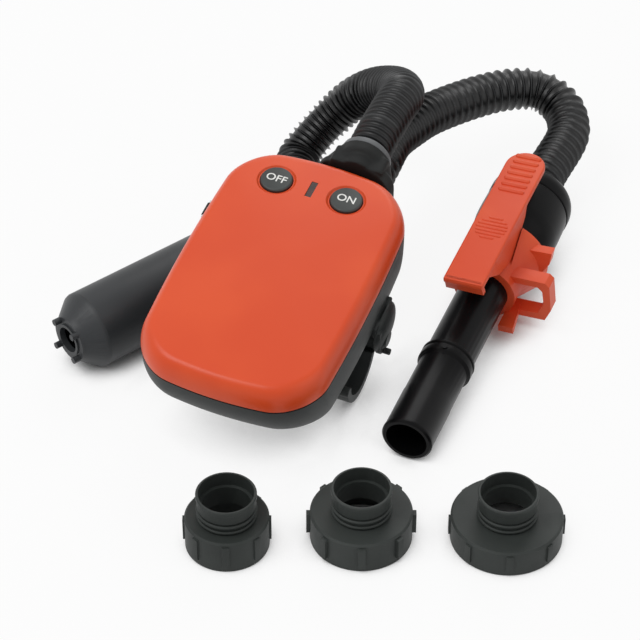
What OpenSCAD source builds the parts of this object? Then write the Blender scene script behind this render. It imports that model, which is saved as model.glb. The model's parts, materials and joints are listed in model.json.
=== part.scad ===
// Electric fuel transfer pump: a battery control box that hangs on two ribbed hoses,
// a submersible pump head, a discharge nozzle with a clip, and three filler adapters.
// Lengths are in millimetres and angles in degrees. +Z is up and the kit lies on z = 0.

/* [Control box] */
// Width of the box at the parting line
box_w = 87; // [84:1:100]
// Length of the box at the parting line
box_l = 135; // [132:1:150]
// Corner radius of the outline before the edges are bulged
box_corner_r = 20; // [14:1:26]
// Height of the front cover above the parting line, at its shoulder
cover_h = 11.6; // [11:0.2:14]
// Rise of the crowned face above the shoulder
crown_h = 1.4; // [0.4:0.2:2.4]
// Depth of the rear shell below the parting line
shell_d = 24.5; // [24:0.5:28]
// Wall of both shells
wall = 2.4; // [1.8:0.2:3]
// Thickness of the seal between the shells
seal_t = 0.8; // [0.4:0.1:1.2]

/* [Buttons and lights] */
// Diameter of each push button
button_d = 14.4; // [12:0.1:15.5]
// Distance between the two button centres
button_pitch = 33; // [30:1:38]
// Distance of the buttons from the middle of the box toward the hoses
button_y = 47; // [44:1:47]
// Sideways place of the button pair and the light window
control_x = -2; // [-3:0.5:2]
// Travel of a button
button_travel = 1.2; // [0.6:0.1:1.4]
// Width of the light window
window_w = 3; // [2:0.5:4]
// Length of the light window
window_l = 9.5; // [7:0.5:11]

/* [Battery] */
// Diameter of one cell
cell_d = 18.2; // [14:0.2:18.4]
// Length of one cell
cell_l = 65; // [50:1:66]

/* [Hoses] */
// Diameter over the ribs
hose_d = 20.4; // [19:0.2:21]
// Depth of the groove between two ribs
rib_depth = 1.3; // [0.8:0.1:1.5]
// Distance from rib to rib
rib_pitch = 4.6; // [4.4:0.1:7]
// Bore of the hose
hose_bore_d = 15.2; // [14.6:0.2:15.6]
// Distance between the two hose axes at the box
hose_gap = 22; // [21.5:0.5:23]

/* [Pump head] */
// Diameter of the pump housing
pump_d = 35.4; // [34:0.2:36]
// Length of the straight housing
pump_l = 72; // [70:1:84]
// Length of the intake cone
cone_l = 10; // [10:1:16]
// Diameter of the intake face
intake_d = 21; // [19:0.5:24]
// Diameter of the intake hole
intake_hole_d = 12; // [9:0.5:13]
// Diameter of the sealed motor can
motor_d = 24.4; // [20:0.2:26]
// Length of the sealed motor can
motor_l = 34; // [28:1:38]

/* [Nozzle] */
// Outer diameter of the spout
spout_d = 22; // [21:0.2:22.4]
// Bore of the spout
spout_bore_d = 18.4; // [16:0.2:19]
// Distance of the stop ring from the tip
ring_u = 48; // [40:1:60]
// Largest diameter of the coupling behind the clip
coupling_d = 39.4; // [36:0.2:40]
// Length of the clip lever
lever_l = 91; // [86:1:94]
// Width of the clip lever
lever_w = 18.4; // [17:0.2:22]

/* [Adapters] */
// Outer diameter of an adapter neck
neck_d = 25.2; // [25:0.2:28]
// Height of a neck above its cap
neck_h = 12.5; // [11:0.5:18]
// Height of the small cap; the other two are a little lower
cap_h = 15.5; // [13:0.5:18]
// Diameter of the small cap
cap_small_d = 35; // [34:0.5:38]
// Diameter of the medium cap
cap_medium_d = 42.4; // [40:0.2:46]
// Diameter of the large cap
cap_large_d = 46.6; // [44:0.2:50]

/* [Hidden] */
$fn = 64;

// Shared clearances
eps = 0.02; // overrun of a cut
gap = 0.3; // clearance between neighbours that don't touch
fit = 0.05; // radial clearance of a pin or shaft in its bore
snug = 0.1; // radial clearance of a hose or tube on its spigot
hull_fn = 32; // sides of a circle inside a hull

// Place of the whole kit: the middle of its box on the floor is the origin
kit_shift = [0.84, 47.24, 0];

// Place of the control box: the centre of the parting plane, and its turn about x, y and z.
// In the box frame x is across, y is toward the hoses and z is out of the face.
box_place = [-19.4, -37.2, 51.2] + kit_shift;
box_turn = [9.7, 4, -21.4];

// Outline of the box
half_w = box_w / 2;
half_l = box_l / 2;
edge_bulge_shares = [0.057, 0.076];
corner_steps = 6;
side_steps = 6;
end_steps = 4;

// Cover profile from the parting line up: share of the shoulder width, share of the height
shoulder_w = 5.5;
cover_side_shares = [[0, 0], [0.07, 0.35], [0.22, 0.65], [0.55, 0.87], [1, 1]];
// Crown rings: share of the way from the middle to the shoulder
crown_shares = [0.8, 0.5, 0.25];
// Shell profile from the parting line down: side share, lower end share, depth share
shell_round_w = 3;
shell_scoop_w = 19;
shell_side_shares = [[0, 0, 0], [0, 0.04, 0.3], [0.03, 0.16, 0.55], [0.15, 0.38, 0.76],
    [0.5, 0.68, 0.92], [1, 1, 1]];
shell_back_shares = [0.5];

// Case screws
screw_r = 1.5;
screw_head_r = 2.8;
screw_head_h = 2;
screw_recess = 1;
boss_r = 4;
boss_places = [[33, 41.5], [-33, 41.5], [28, -41], [-28, -41]];

// Buttons and what they press
button_r = button_d / 2;
button_proud = 0.6;
button_flange_t = 1;
button_flange_r = button_r + button_flange_t;
dish_w = 1.6;
dish_d = 0.8;
board_t = 1.6;
board_size = [52, 21];
board_back = 4.5; // from the line of the buttons to the middle of the board
board_y = button_y - board_back;
switch_size = 6.2;
switch_h = 3.4;
nub_r = 1.6;
nub_h = 0.6;
cover_inner_z = cover_h - wall + 0.2 * crown_h;
button_low_z = cover_inner_z - gap - button_flange_t;
nub_top_z = button_low_z - button_travel - gap;
board_top_z = nub_top_z - nub_h - switch_h;
dish_low_z = cover_h - dish_d + 0.3 * crown_h;
button_top_z = dish_low_z + button_proud + dish_d;
post_r = 2.2;
post_x = 23.5;
post_back = 8;
post_y = button_y - post_back;
light_size = [1.6, 1.2, 1];
light_pitch = 2.2;
window_proud = 0.1;

// Battery
cell_r = cell_d / 2;
cell_pitch = cell_d + 1;
cell_y = -8;
tray_floor = 1;
tray_wall = 1.6;
shell_floor_z = -shell_d + wall;
cell_z = shell_floor_z + tray_floor + cell_r;
contact_t = 0.6;
contact_size = 9;
spring_gap = 1.2;

// Charge socket on the left wall, and its rubber cap
socket_y = 30;
socket_z = -8.6;
socket_r = 5;
socket_bore_r = 2.8;
socket_l = 12;
socket_depth = 9;
socket_pin_r = 1;
socket_inset = 1.4;
socket_face_x = -half_w + socket_inset;
socket_flange_w = 1.4;
socket_seat = 1;
socket_floor = 1.4;
cap_disc_r = 6.4;
cap_disc_t = 2.2;
cap_plug_r = 2.3;
cap_plug_l = 1;
cap_disc_x = -half_w - snug;
cap_hinge_x = cap_disc_x - cap_disc_t / 2;
cap_hinge_z = -1.6;
cap_hinge_w = 7;
cap_barrel_r = 1.5;
cap_pin_r = 0.8;
cap_lug_t = 1.4;
cap_lug_l = 3.6;

// Hanging hook on the back, near the right edge
hook_hinge_y = 14.5;
hook_drop = 7.6;
hook_hinge = [0, hook_hinge_y, -shell_d - hook_drop];
hook_barrel_r = 7;
hook_w = 9;
hook_x0 = 34.6;
hook_pin_r = 2;
hook_head_r = 5;
hook_head_t = 1.4;
hook_bend_y = -7;
hook_bend_drop = 3;
hook_bend_c = [hook_bend_y, -shell_d - hook_bend_drop];
hook_bend_r = 17.1;
hook_strap_t = 3.6;
hook_bead_r = 2.2;
hook_sweep = [-25, -175];
hook_steps = 22;
peg_r = 1.5;
peg_l = 3;
lug_t = 6;
ear_t = 2.4;
ear_r = 7.4;
ear_rise = 2.6;
bracket_t = 2;

// Boot that carries both hoses on the upper end of the box
hose_r = hose_d / 2;
hose_bore_r = hose_bore_d / 2;
hose_x = 11;
boot_x = 10;
boot_mid_z = -6;
upper_hose_z = boot_mid_z + hose_gap / 2;
lower_hose_z = boot_mid_z - hose_gap / 2;
boot_base_w = 36;
boot_base_h = 35;
boot_base_r = 11;
boot_base_in = 8;
boot_base_out = 4;
boot_mouth_out = 12.5;
boot_mouth_wall = 1.4;
boot_mouth_l = 5.5;
boot_blend = 1; // how much the blend to the mouths is drawn in from the base
boot_neck_out = 2;
boot_base_y0 = half_l - boot_base_in;
boot_base_y1 = half_l + boot_base_out;
boot_mouth_y = half_l + boot_mouth_out;
boot_mouth_r = hose_r + boot_mouth_wall;
boot_neck = [28, 20];
boot_flange = [30, 23];
boot_flange_t = 2.4;
boot_flange_in = 6.5;
boot_flange_y = half_l - boot_flange_in;
hose_seat_out = 8.6;
hose_seat_y = half_l + hose_seat_out;
hose_sides = 8;
spigot_wall = 1.6;
spigot_r = hose_bore_r * cos(180 / hose_sides) - snug;
spigot_bore_r = spigot_r - spigot_wall;
spigot_l = 20;
duct_in = 0.2;
duct_y0 = half_l - duct_in;
duct_r = 4.3;
duct_w = 14;
duct_slack = 0.2;
duct_rise = spigot_bore_r + duct_slack;
duct_wall = 1.2;

// Hook and hose points that follow the box
function about_x(v, a) = [v.x, v.y * cos(a) - v.z * sin(a), v.y * sin(a) + v.z * cos(a)];
function about_y(v, a) = [v.x * cos(a) + v.z * sin(a), v.y, v.z * cos(a) - v.x * sin(a)];
function about_z(v, a) = [v.x * cos(a) - v.y * sin(a), v.x * sin(a) + v.y * cos(a), v.z];
function turned(v, t) = about_z(about_y(about_x(v, t.x), t.y), t.z);
function in_box(v) = box_place + turned(v, box_turn);

// Pump head, lying on the floor: local z runs from its hose end to its intake.
// The pieces inside are counted back from the intake: strainer, impeller, seal and motor.
pump_r = pump_d / 2;
pump_wall = 2.2;
pump_place = [-47, 17.7, pump_r] + kit_shift;
pump_turn = [0, 90, 219.3];
end_cap_l = 12;
end_cap_tip_r = 12.6;
end_cap_lip = 4;
pump_spigot_l = 14;
cuff_t = 1.4;
cuff_l = 9;
oring_r = 0.7;
cone_wall = 2;
cone_lip_l = 5;
cone_lip_t = 2.2;
cone_edge = 0.4;
cone_edge_share = 0.12;
cone_face_edge = 0.8;
strainer_t = 1.2;
strainer_z = pump_l - cone_lip_l / 2 - strainer_t;
impeller_r = 13.4;
impeller_disc_t = 1.4;
impeller_blades = 6;
blade_h = 6;
blade_t = 1.4;
hub_r = 4;
hub_l = 9;
hub_roof = 1;
blade_turn = 18;
blade_root = 1;
blade_end_gap = 0.6;
impeller_z = strainer_z - gap - hub_l;
impeller_gap = 1;
seal_r = 5;
seal_l = 3;
seal_z = impeller_z - impeller_gap - seal_l;
motor_r = motor_d / 2;
motor_nose_r = 8;
motor_nose_l = 3;
motor_z = seal_z - motor_nose_l - motor_l;
shaft_r = 1.15;
shaft_in = 4;
bearing_in = 5;
bearing_w = 2;
bearing_l = 3;
cradle_ring_t = 1.2;
cradle_l = 16;
cradle_in = 6;
cradle_z = motor_z + cradle_in;
cradle_fins = 4;
fin_t = 2;
foot_r = 1.5;
foot_l = 3;
foot_in = 1.2;
foot_count = 4;
foot_turn = 45;
brace_l = 5;
brace_in = 2;
brace_turn = -40;
intake_rim_t = 1.4;
intake_rim_h = 0.8;
strainer_hole_r = 1;
strainer_step = 3;
strainer_rows = 3;
function in_pump(v) = pump_place + turned(v, pump_turn);

// Nozzle: local z runs from the tip up the spout, x is down and y is to its left
spout_r = spout_d / 2;
spout_bore_r = spout_bore_d / 2;
nozzle_place = [36.6, -93.5, 11.8] + kit_shift;
nozzle_turn = [0, 85, 67.5];
tip_band_l = 24;
tip_band_t = 0.2;
tip_lip_t = 0.2;
tip_lip_l = 2;
tip_edge = 0.8;
band_slope = 0.6;
ring_t = 1.3;
ring_w = 6;
ring_slope = 0.8;
ring_edge = 0.4;
ring_groove = 0.6;
ring_groove_shares = [0.1, 0.167, 0.267, 0.333];
pip_r = 1.3;
pip_back = 1.4;
coupling_r = coupling_d / 2;
coupling_u = 124;
coupling_l = 31;
seam_u = coupling_u + coupling_l;
coupling_tail_l = 16;
coupling_end_u = seam_u + coupling_tail_l;
// Coupling profile: share of its length, share of the way from the spout's radius to its own
coupling_shares = [[0, 0.161], [0.077, 0.483], [0.226, 0.816], [0.387, 0.966], [0.581, 1], [0.968, 0.966]];
// Tail behind the seam: share of its length, share of the way from the hose's radius to its own
tail_shares = [[0.0625, 1], [0.375, 1], [0.594, 0.853], [0.8125, 0.379], [1, 0.189]];
seam_groove = 0.5;
seam_edge = 0.3;
seam_lip_in = 1;
coupling_wall = 2.4;
seam_r = coupling_r - seam_edge - seam_groove;
seam_bore_r = coupling_r - coupling_wall - seam_groove - seam_lip_in;
spout_insert_l = 14;
spout_end_u = coupling_u + spout_insert_l;
socket_lip = 6;
barb_in = 12;
barb_u = seam_u - barb_in;
barb_funnel_land = 1;
nozzle_run = 14; // straight run of the hose inside and behind the coupling's tail
barb_flange_r = 12;
barb_flange_t = 2.4;
hose_seat_u = barb_u + barb_flange_t;
sensor_size = [1.2, 6, 10];
sensor_u = 9;
function in_nozzle(v) = nozzle_place + turned(v, nozzle_turn);

// Clip on the nozzle: u along the spout, h above its axis, s to its right
lever_u = 72;
lever_h = 28;
lever_t = 3;
lever_lip_h = 7.5;
lever_lip_t = 2.6;
lever_lip_lean = 2;
thumb_r = lever_w / 2;
skirt_t = 1.5;
skirt_in = 8;
skirt_l = 51;
skirt_u = [lever_u + skirt_in, lever_u + skirt_in + skirt_l];
skirt_end_in = 3;
skirt_end_h = 2;
// Lower edge of the skirt, counted from the hinge in shares of the skirt's length
skirt_shares = [[0.157, -0.078], [0.078, -0.127], [-0.118, -0.127], [-0.353, -0.039]];
lever_end_l = 1;
hinge_u = 110;
hinge_h = 19;
clip_roll = -2.5;
clip_pin_r = 1.5;
thumb_ribs = 7;
thumb_rib_pitch = 4;
thumb_rib_side = 3;
thumb_rib_end = 5;
grip_ribs = 6;
grip_in = 37;
grip_u = lever_u + grip_in;
grip_r = 7;
grip_pitch = 2.6;
grip_rib_min = 2;
rib_h = 0.7;
rib_w = 1.8;
sleeve_wall = 3.4;
sleeve_r = spout_r + sleeve_wall;
sleeve_in = 25;
sleeve_l = 24;
sleeve_u = [lever_u + sleeve_in, lever_u + sleeve_in + sleeve_l];
cheek_t = 1.8;
cheek_s = lever_w / 2 - skirt_t - gap - cheek_t;
cheek_r = 5;
// Side outline of the cheeks, counted from the hinge in shares of the hinge's height
cheek_shares = [[-0.579, -1], [0.579, -1], [0.632, -0.526], [0.789, -0.105], [1.053, 0.137], [-0.132, 0.189],
    [-0.263, 0]];
// Flare of the sleeve toward the coupling, with its rim and the notch that the lever swings in
flare_l = 15;
flare_rim_l = 1.6;
flare_r = 21.4;
flare_notch_h = 10.5;
// Tab and loop, seen along the spout: height and side, in shares of the spout's radius
tab_t = 4.5;
tab_shares = [[0.2, 0.36], [1.12, 1.4], [1.16, 2.32], [0.55, 2.2], [-0.66, 1.44], [-1.1, 0.36]];
loop_in = 4;
loop_w = 7;
loop_u = [sleeve_u[0] + loop_in, sleeve_u[0] + loop_in + loop_w];
loop_t = 3.4;
loop_root_share = 0.364;
loop_shares = [[0.818, 0.364], [0.818, 2.5], [0.636, 2.682], [-0.636, 2.727], [-1.227, 2.455], [-1.273, 0.364]];
foot_h = -20.5;
rest_w = 5;
tail_u = 88;
tail_w = 7;
tail_t = 3.4;
tail_end_l = 1;
tail_root_l = 3;
tail_narrow = 2;
tail_s = 13;
tail_h = -11.5;
spring_wire_r = 0.5;
spring_r = 3;
spring_turns = 4;
spring_pitch = 1.5;
spring_sides = 6;
spring_rings = 8;
spring_leg = 7;

// Adapters
neck_r = neck_d / 2;
neck_bore_r = spout_r + tip_band_t + tip_lip_t + snug;
neck_undercut = 1.2;
neck_lower_wall = 1.2;
neck_plain_share = 0.52;
neck_edge = 0.4;
neck_rim_l = 2;
thread_r = 0.8;
thread_count = 2;
thread_pitch = 2.9;
cap_edge = 0.8;
cap_wall = 3;
cap_roof = 3.2;
grip_count = 8;
grip_out = 1.5;
grip_root = 1;
grip_w = 3;
grip_share = 0.8;
gasket_t = 1.6;
gasket_lip = 0.5; // the gasket snaps in behind this much of a ledge
gasket_in = 0.6;
cap_h_shares = [1, 0.94, 0.8];
small_place = [-38.2, -142.6, 0] + kit_shift;
medium_place = [17, -138.6, 0] + kit_shift;
large_place = [77, -139, 0] + kit_shift;

// Routes of the two hoses. The first and last points follow the boot, the pump head and the
// nozzle; the points between them are laid by hand.
straight_more = 1;
straight = hose_d + straight_more;
inlet_route = concat(
    [in_box([hose_x, hose_seat_y, upper_hose_z]), in_box([hose_x, hose_seat_y + straight, upper_hose_z])],
    [for (p = [[34, 64, 73], [38, 77, 71], [35, 92, 64], [26, 107, 53], [16, 113, 43],
        [6, 112, 33], [-3, 107, 25], [-10, 99, 19], [-12, 86, 18], [-11, 68, 18], [-13, 52, 18]])
        p + kit_shift],
    [in_pump([0, 0, -end_cap_l - straight]), in_pump([0, 0, -end_cap_l])]);
outlet_route = concat(
    [in_box([hose_x, hose_seat_y, lower_hose_z]), in_box([hose_x, hose_seat_y + straight, lower_hose_z])],
    [for (p = [[33, 70, 49], [42, 86, 46], [53, 101, 43], [73, 119, 39], [91, 129, 37], [106, 131, 35],
        [116, 123, 32], [119, 111, 30], [117, 98, 29]])
        p + kit_shift],
    [in_nozzle([0, 0, hose_seat_u + straight + nozzle_run]), in_nozzle([0, 0, hose_seat_u])]);

// Sweeping a tube along a route: a smooth curve through the points, cut at even steps
curve_steps = 10;
bore_ring_every = 4;
function spline(a, b, c, d, t) = 0.5 * ((2 * b) + (c - a) * t + (2 * a - 5 * b + 4 * c - d) * t * t
    + (3 * b - a - 3 * c + d) * t * t * t);
function at(list, i) = list[max(0, min(len(list) - 1, i))];
function curve(route) = concat([route[0]],
    [for (i = [0 : len(route) - 2])
        for (k = [1 : curve_steps])
            i == 0 || i == len(route) - 2
                ? route[i] + (route[i + 1] - route[i]) * k / curve_steps
                : spline(i == 1 ? 2 * route[1] - route[2] : route[i - 1], route[i], route[i + 1],
                    at(route, i + 2), k / curve_steps)]);
function run_lengths(pts) = [for (i = 0, s = 0; i < len(pts);
    s = s + (i + 1 < len(pts) ? norm(pts[i + 1] - pts[i]) : 0), i = i + 1) s];
function even_points(pts, n) =
    let(run = run_lengths(pts), total = run[len(run) - 1],
        tx = [for (i = [0 : len(pts) - 1]) [run[i], pts[i].x]],
        ty = [for (i = [0 : len(pts) - 1]) [run[i], pts[i].y]],
        tz = [for (i = [0 : len(pts) - 1]) [run[i], pts[i].z]])
    [for (i = [0 : n]) let(s = total * i / n) [lookup(s, tx), lookup(s, ty), lookup(s, tz)]];
function unit(v) = v / norm(v);
function tangents(p) = [for (i = [0 : len(p) - 1]) unit(at(p, i + 1) - at(p, i - 1))];
// Sideways directions carried along without twist
function sideways(t) = [for (i = 0, n = unit(cross(t[0], [0.1, 0.2, 1])); i < len(t);
    i = i + 1, n = i < len(t) ? unit(n - t[i] * (n * t[i])) : n) n];
function ring_at(p, t, n, r, sides) = [for (k = [0 : sides - 1])
    let(a = 360 * (k + 0.5) / sides) p + r * (n * cos(a) + cross(t, n) * sin(a))];

// Faces of a band between ring i and ring j of m points
function band(i, j, m, base = 0) = [for (k = [0 : m - 1])
    for (f = [[base + i * m + k, base + j * m + k, base + j * m + (k + 1) % m],
        [base + i * m + k, base + j * m + (k + 1) % m, base + i * m + (k + 1) % m]]) f];
function flipped(faces) = [for (f = faces) [f[2], f[1], f[0]]];

module ribbed_hose(route) {
    pts = curve(route);
    run = run_lengths(pts);
    ribs = round(run[len(run) - 1] / rib_pitch);
    n = 2 * ribs;
    p = even_points(pts, n);
    t = tangents(p);
    side = sideways(t);
    outer = [for (i = [0 : n])
        each ring_at(p[i], t[i], side[i], i % 2 == 0 ? hose_r - rib_depth : hose_r, hose_sides)];
    picks = [for (i = [0 : bore_ring_every : n - bore_ring_every / 2]) i];
    all_picks = concat(picks, [n]);
    inner = [for (i = all_picks) each ring_at(p[i], t[i], side[i], hose_bore_r, hose_sides)];
    base = len(outer);
    last = len(all_picks) - 1;
    faces = concat(
        [for (i = [0 : n - 1]) each band(i, i + 1, hose_sides)],
        [for (i = [0 : last - 1]) each flipped(band(i, i + 1, hose_sides, base))],
        [for (k = [0 : hose_sides - 1]) let(m = (k + 1) % hose_sides)
            for (f = [[k, m, base + m], [k, base + m, base + k]]) f],
        [for (k = [0 : hose_sides - 1])
            let(m = (k + 1) % hose_sides, o = n * hose_sides, b = base + last * hose_sides)
            for (f = [[o + m, o + k, b + k], [o + m, b + k, b + m]]) f]);
    echo(hose_length = run[len(run) - 1], ribs = ribs, gap_to_itself = self_gap(p));
    polyhedron(points = concat(outer, inner), faces = flipped(faces));
}

// Least space between two stretches of one hose that are more than five diameters apart along it
function self_gap(p) =
    let(step = norm(p[1] - p[0]), far = ceil(5 * hose_d / step))
    min([for (i = [0 : 2 : len(p) - 1 - far]) for (j = [i + far : 2 : len(p) - 1]) norm(p[i] - p[j])])
    - hose_d;

// Outline of the box, drawn in at the sides, at the hose end and at the lower end
function corner(sx, sy, from) = [for (i = [0 : corner_steps])
    let(a = from + 90 * i / corner_steps)
    [sx * (half_w - box_corner_r) + box_corner_r * cos(a),
        sy * (half_l - box_corner_r) + box_corner_r * sin(a)]];
function between(a, b, steps) = [for (i = [1 : steps - 1]) a + (b - a) * i / steps];
function straight_outline() =
    let(c = [corner(1, 1, 0), corner(-1, 1, 90), corner(-1, -1, 180), corner(1, -1, 270)])
    concat(c[0], between(c[0][corner_steps], c[1][0], end_steps),
        c[1], between(c[1][corner_steps], c[2][0], side_steps),
        c[2], between(c[2][corner_steps], c[3][0], end_steps),
        c[3], between(c[3][corner_steps], c[0][0], side_steps));
box_outline = [for (p = straight_outline())
    [p.x * (1 - edge_bulge_shares.x * pow(p.y / half_l, 2)),
        p.y * (1 - edge_bulge_shares.y * pow(p.x / half_w, 2))]];
function drawn_in(side, low) = [for (p = box_outline)
    [p.x * (half_w - side) / half_w, p.y * (half_l - (p.y > 0 ? side : low)) / half_l]];
function ring_z(side, low, z) = [for (p = drawn_in(side, low)) [p.x, p.y, z]];
function scaled_ring(ring, share, z) = [for (p = ring) [p.x * share, p.y * share, z]];

// A hollow shell between two stacks of rings that start at the parting line, each closed by a point
module hollow_loft(outer, outer_tip, inner, inner_tip) {
    m = len(box_outline);
    a = len(outer);
    b = len(inner);
    base = a * m + 1;
    points = concat([for (r = outer) each r], [outer_tip], [for (r = inner) each r], [inner_tip]);
    faces = concat(
        [for (i = [0 : a - 2]) each band(i, i + 1, m)],
        [for (k = [0 : m - 1]) [(a - 1) * m + k, a * m, (a - 1) * m + (k + 1) % m]],
        [for (i = [0 : b - 2]) each flipped(band(i, i + 1, m, base))],
        [for (k = [0 : m - 1]) [base + (b - 1) * m + k, base + (b - 1) * m + (k + 1) % m, base + b * m]],
        [for (k = [0 : m - 1]) let(n = (k + 1) % m)
            for (f = [[k, n, base + n], [k, base + n, base + k]]) f]);
    polyhedron(points = points, faces = outer_tip.z > 0 ? faces : flipped(faces));
}

module at_box() {
    translate(box_place) rotate(box_turn) children();
}

module at_pump() {
    translate(pump_place) rotate(pump_turn) children();
}

module at_nozzle() {
    translate(nozzle_place) rotate(nozzle_turn) children();
}

module at_clip() {
    at_nozzle() rotate([0, 0, clip_roll]) children();
}

// A cylinder or ring along the box's x or y axis
module rod_x(x0, x1, r, y, z) {
    translate([x0, y, z]) rotate([0, 90, 0]) cylinder(r = r, h = x1 - x0);
}

module rod_y(y0, y1, r, x, z) {
    translate([x, y0, z]) rotate([-90, 0, 0]) cylinder(r = r, h = y1 - y0);
}

module tube(r, bore, z0, z1) {
    translate([0, 0, z0]) difference() {
        cylinder(r = r, h = z1 - z0);
        translate([0, 0, -eps]) cylinder(r = bore, h = z1 - z0 + 2 * eps);
    }
}

module at_buttons() {
    for (side = [-1, 1]) translate([control_x + side * button_pitch / 2, button_y, 0]) children();
}

// Front cover

module cover_body() {
    z0 = seal_t / 2;
    rise = cover_h - z0;
    shoulder = ring_z(shoulder_w, shoulder_w, cover_h);
    outer = concat(
        [for (s = cover_side_shares) ring_z(shoulder_w * s[0], shoulder_w * s[0], z0 + rise * s[1])],
        [for (s = crown_shares) scaled_ring(shoulder, s, cover_h + crown_h * (1 - s * s))]);
    inner_h = cover_h - wall;
    inner_shoulder = ring_z(shoulder_w + wall, shoulder_w + wall, inner_h);
    inner = concat(
        [for (s = cover_side_shares)
            ring_z(wall + shoulder_w * s[0], wall + shoulder_w * s[0], z0 + (inner_h - z0) * s[1])],
        [for (s = crown_shares) scaled_ring(inner_shoulder, s, inner_h + crown_h * (1 - s * s))]);
    hollow_loft(outer, [0, 0, cover_h + crown_h], inner, [0, 0, inner_h + crown_h]);
}

module boot_hole() {
    translate([hose_x - boot_neck.x / 2 - snug, boot_flange_y, boot_mid_z - boot_neck.y / 2 - snug])
        cube([boot_neck.x + 2 * snug, half_l, boot_neck.y + 2 * snug]);
}

module front_cover() {
    color("orangered") at_box() difference() {
        union() {
            cover_body();
            for (p = boss_places)
                translate([p.x, p.y, seal_t / 2]) cylinder(r = boss_r, h = cover_h - wall / 2 - seal_t / 2);
            for (side = [-1, 1])
                translate([side * post_x + control_x, post_y, board_top_z])
                    cylinder(r = post_r, h = cover_h - wall / 2 - board_top_z);
        }
        at_buttons() {
            cylinder(r = button_r + gap, h = 2 * cover_h);
            translate([0, 0, dish_low_z])
                cylinder(r1 = button_r + dish_w - dish_d, r2 = button_r + dish_w + dish_d, h = 2 * dish_d);
        }
        translate([control_x - window_w / 2, button_y - window_l / 2, 0])
            cube([window_w, window_l, 2 * cover_h]);
        for (p = boss_places)
            translate([p.x, p.y, 0]) cylinder(r = screw_r + fit, h = cover_h - 2 * wall);
        boot_hole();
    }
}

// Rear shell

module shell_body() {
    z0 = -seal_t / 2;
    depth = shell_d + z0;
    inner_d = depth - wall;
    back = ring_z(shell_round_w, shell_scoop_w, -shell_d);
    inner_back = ring_z(shell_round_w + wall, shell_scoop_w + wall, -shell_d + wall);
    outer = concat(
        [for (s = shell_side_shares) ring_z(shell_round_w * s[0], shell_scoop_w * s[1], z0 - depth * s[2])],
        [for (s = shell_back_shares) scaled_ring(back, s, -shell_d)]);
    inner = concat(
        [for (s = shell_side_shares)
            ring_z(wall + shell_round_w * s[0], wall + shell_scoop_w * s[1], z0 - inner_d * s[2])],
        [for (s = shell_back_shares) scaled_ring(inner_back, s, -shell_d + wall)]);
    hollow_loft(outer, [0, 0, -shell_d], inner, [0, 0, -shell_d + wall]);
}

module rear_shell() {
    color("darkslategray") at_box() difference() {
        union() {
            shell_body();
            for (p = boss_places)
                translate([p.x, p.y, -shell_d + wall / 2])
                    cylinder(r = boss_r, h = shell_d - wall / 2 - seal_t / 2);
        }
        for (p = boss_places) translate([p.x, p.y, 0]) {
            translate([0, 0, -shell_d]) cylinder(r = screw_r + gap / 2, h = shell_d);
            translate([0, 0, -shell_d - wall]) cylinder(r = screw_head_r + gap, h = 2 * wall + screw_recess);
        }
        rod_x(-half_w - wall, -half_w + 2 * wall, socket_r + snug, socket_y, socket_z);
        cap_lugs(snug);
        boot_hole();
    }
}

module parting_seal() {
    color("black") at_box() translate([0, 0, -seal_t / 2]) difference() {
        linear_extrude(seal_t) difference() {
            polygon(drawn_in(seal_t / 2, seal_t / 2));
            polygon(drawn_in(wall, wall));
        }
        translate([0, 0, seal_t / 2]) boot_hole();
    }
}

module case_screws() {
    color("silver") at_box() for (p = boss_places) translate([p.x, p.y, 0]) difference() {
        head_z = -shell_d + wall + screw_recess;
        union() {
            translate([0, 0, head_z]) cylinder(r = screw_r, h = cover_h - 2 * wall - gap - head_z);
            translate([0, 0, head_z - screw_head_h]) cylinder(r = screw_head_r, h = screw_head_h);
        }
        translate([0, 0, head_z - screw_head_h - eps])
            cylinder(r = screw_r, h = screw_head_h / 2, $fn = 6);
    }
}

// Buttons, lights and board

module button() {
    color("dimgray") translate([control_x, button_y, 0]) rotate_extrude() polygon([
        [0, button_low_z], [button_flange_r, button_low_z],
        [button_flange_r, button_low_z + button_flange_t], [button_r, button_low_z + button_flange_t],
        [button_r, button_top_z - button_proud], [button_r - button_proud, button_top_z],
        [0, button_top_z]]);
}

module button_off() {
    at_box() translate([-button_pitch / 2, 0, 0]) button();
}

module button_on() {
    at_box() translate([button_pitch / 2, 0, 0]) button();
}

module tact_switches() {
    color("silver") at_box() at_buttons() {
        translate([-switch_size / 2, -switch_size / 2, board_top_z]) cube([switch_size, switch_size, switch_h]);
        translate([0, 0, board_top_z + switch_h]) cylinder(r = nub_r, h = nub_h);
    }
}

module light_window() {
    color("black") at_box() {
        translate([control_x - window_w / 2 + fit, button_y - window_l / 2 + fit, cover_inner_z - wall])
            cube([window_w - 2 * fit, window_l - 2 * fit, cover_h + crown_h / 4 - window_proud
                - cover_inner_z + wall]);
    }
}

module charge_lights() {
    color("white") at_box() for (i = [0 : 3])
        translate([control_x - light_size.x / 2, button_y + (i - 1.5) * light_pitch - light_size.y / 2, board_top_z])
            cube(light_size);
}

module circuit_board() {
    color("green") at_box()
        translate([control_x - board_size.x / 2, board_y - board_size.y / 2, board_top_z - board_t])
            cube([board_size.x, board_size.y, board_t]);
}

// Battery

module at_cells() {
    for (side = [-1, 1]) translate([side * cell_pitch / 2, cell_y, cell_z]) children();
}

module battery_cells() {
    color("royalblue") at_box() at_cells() rotate([90, 0, 0]) cylinder(r = cell_r, h = cell_l, center = true);
}

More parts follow.
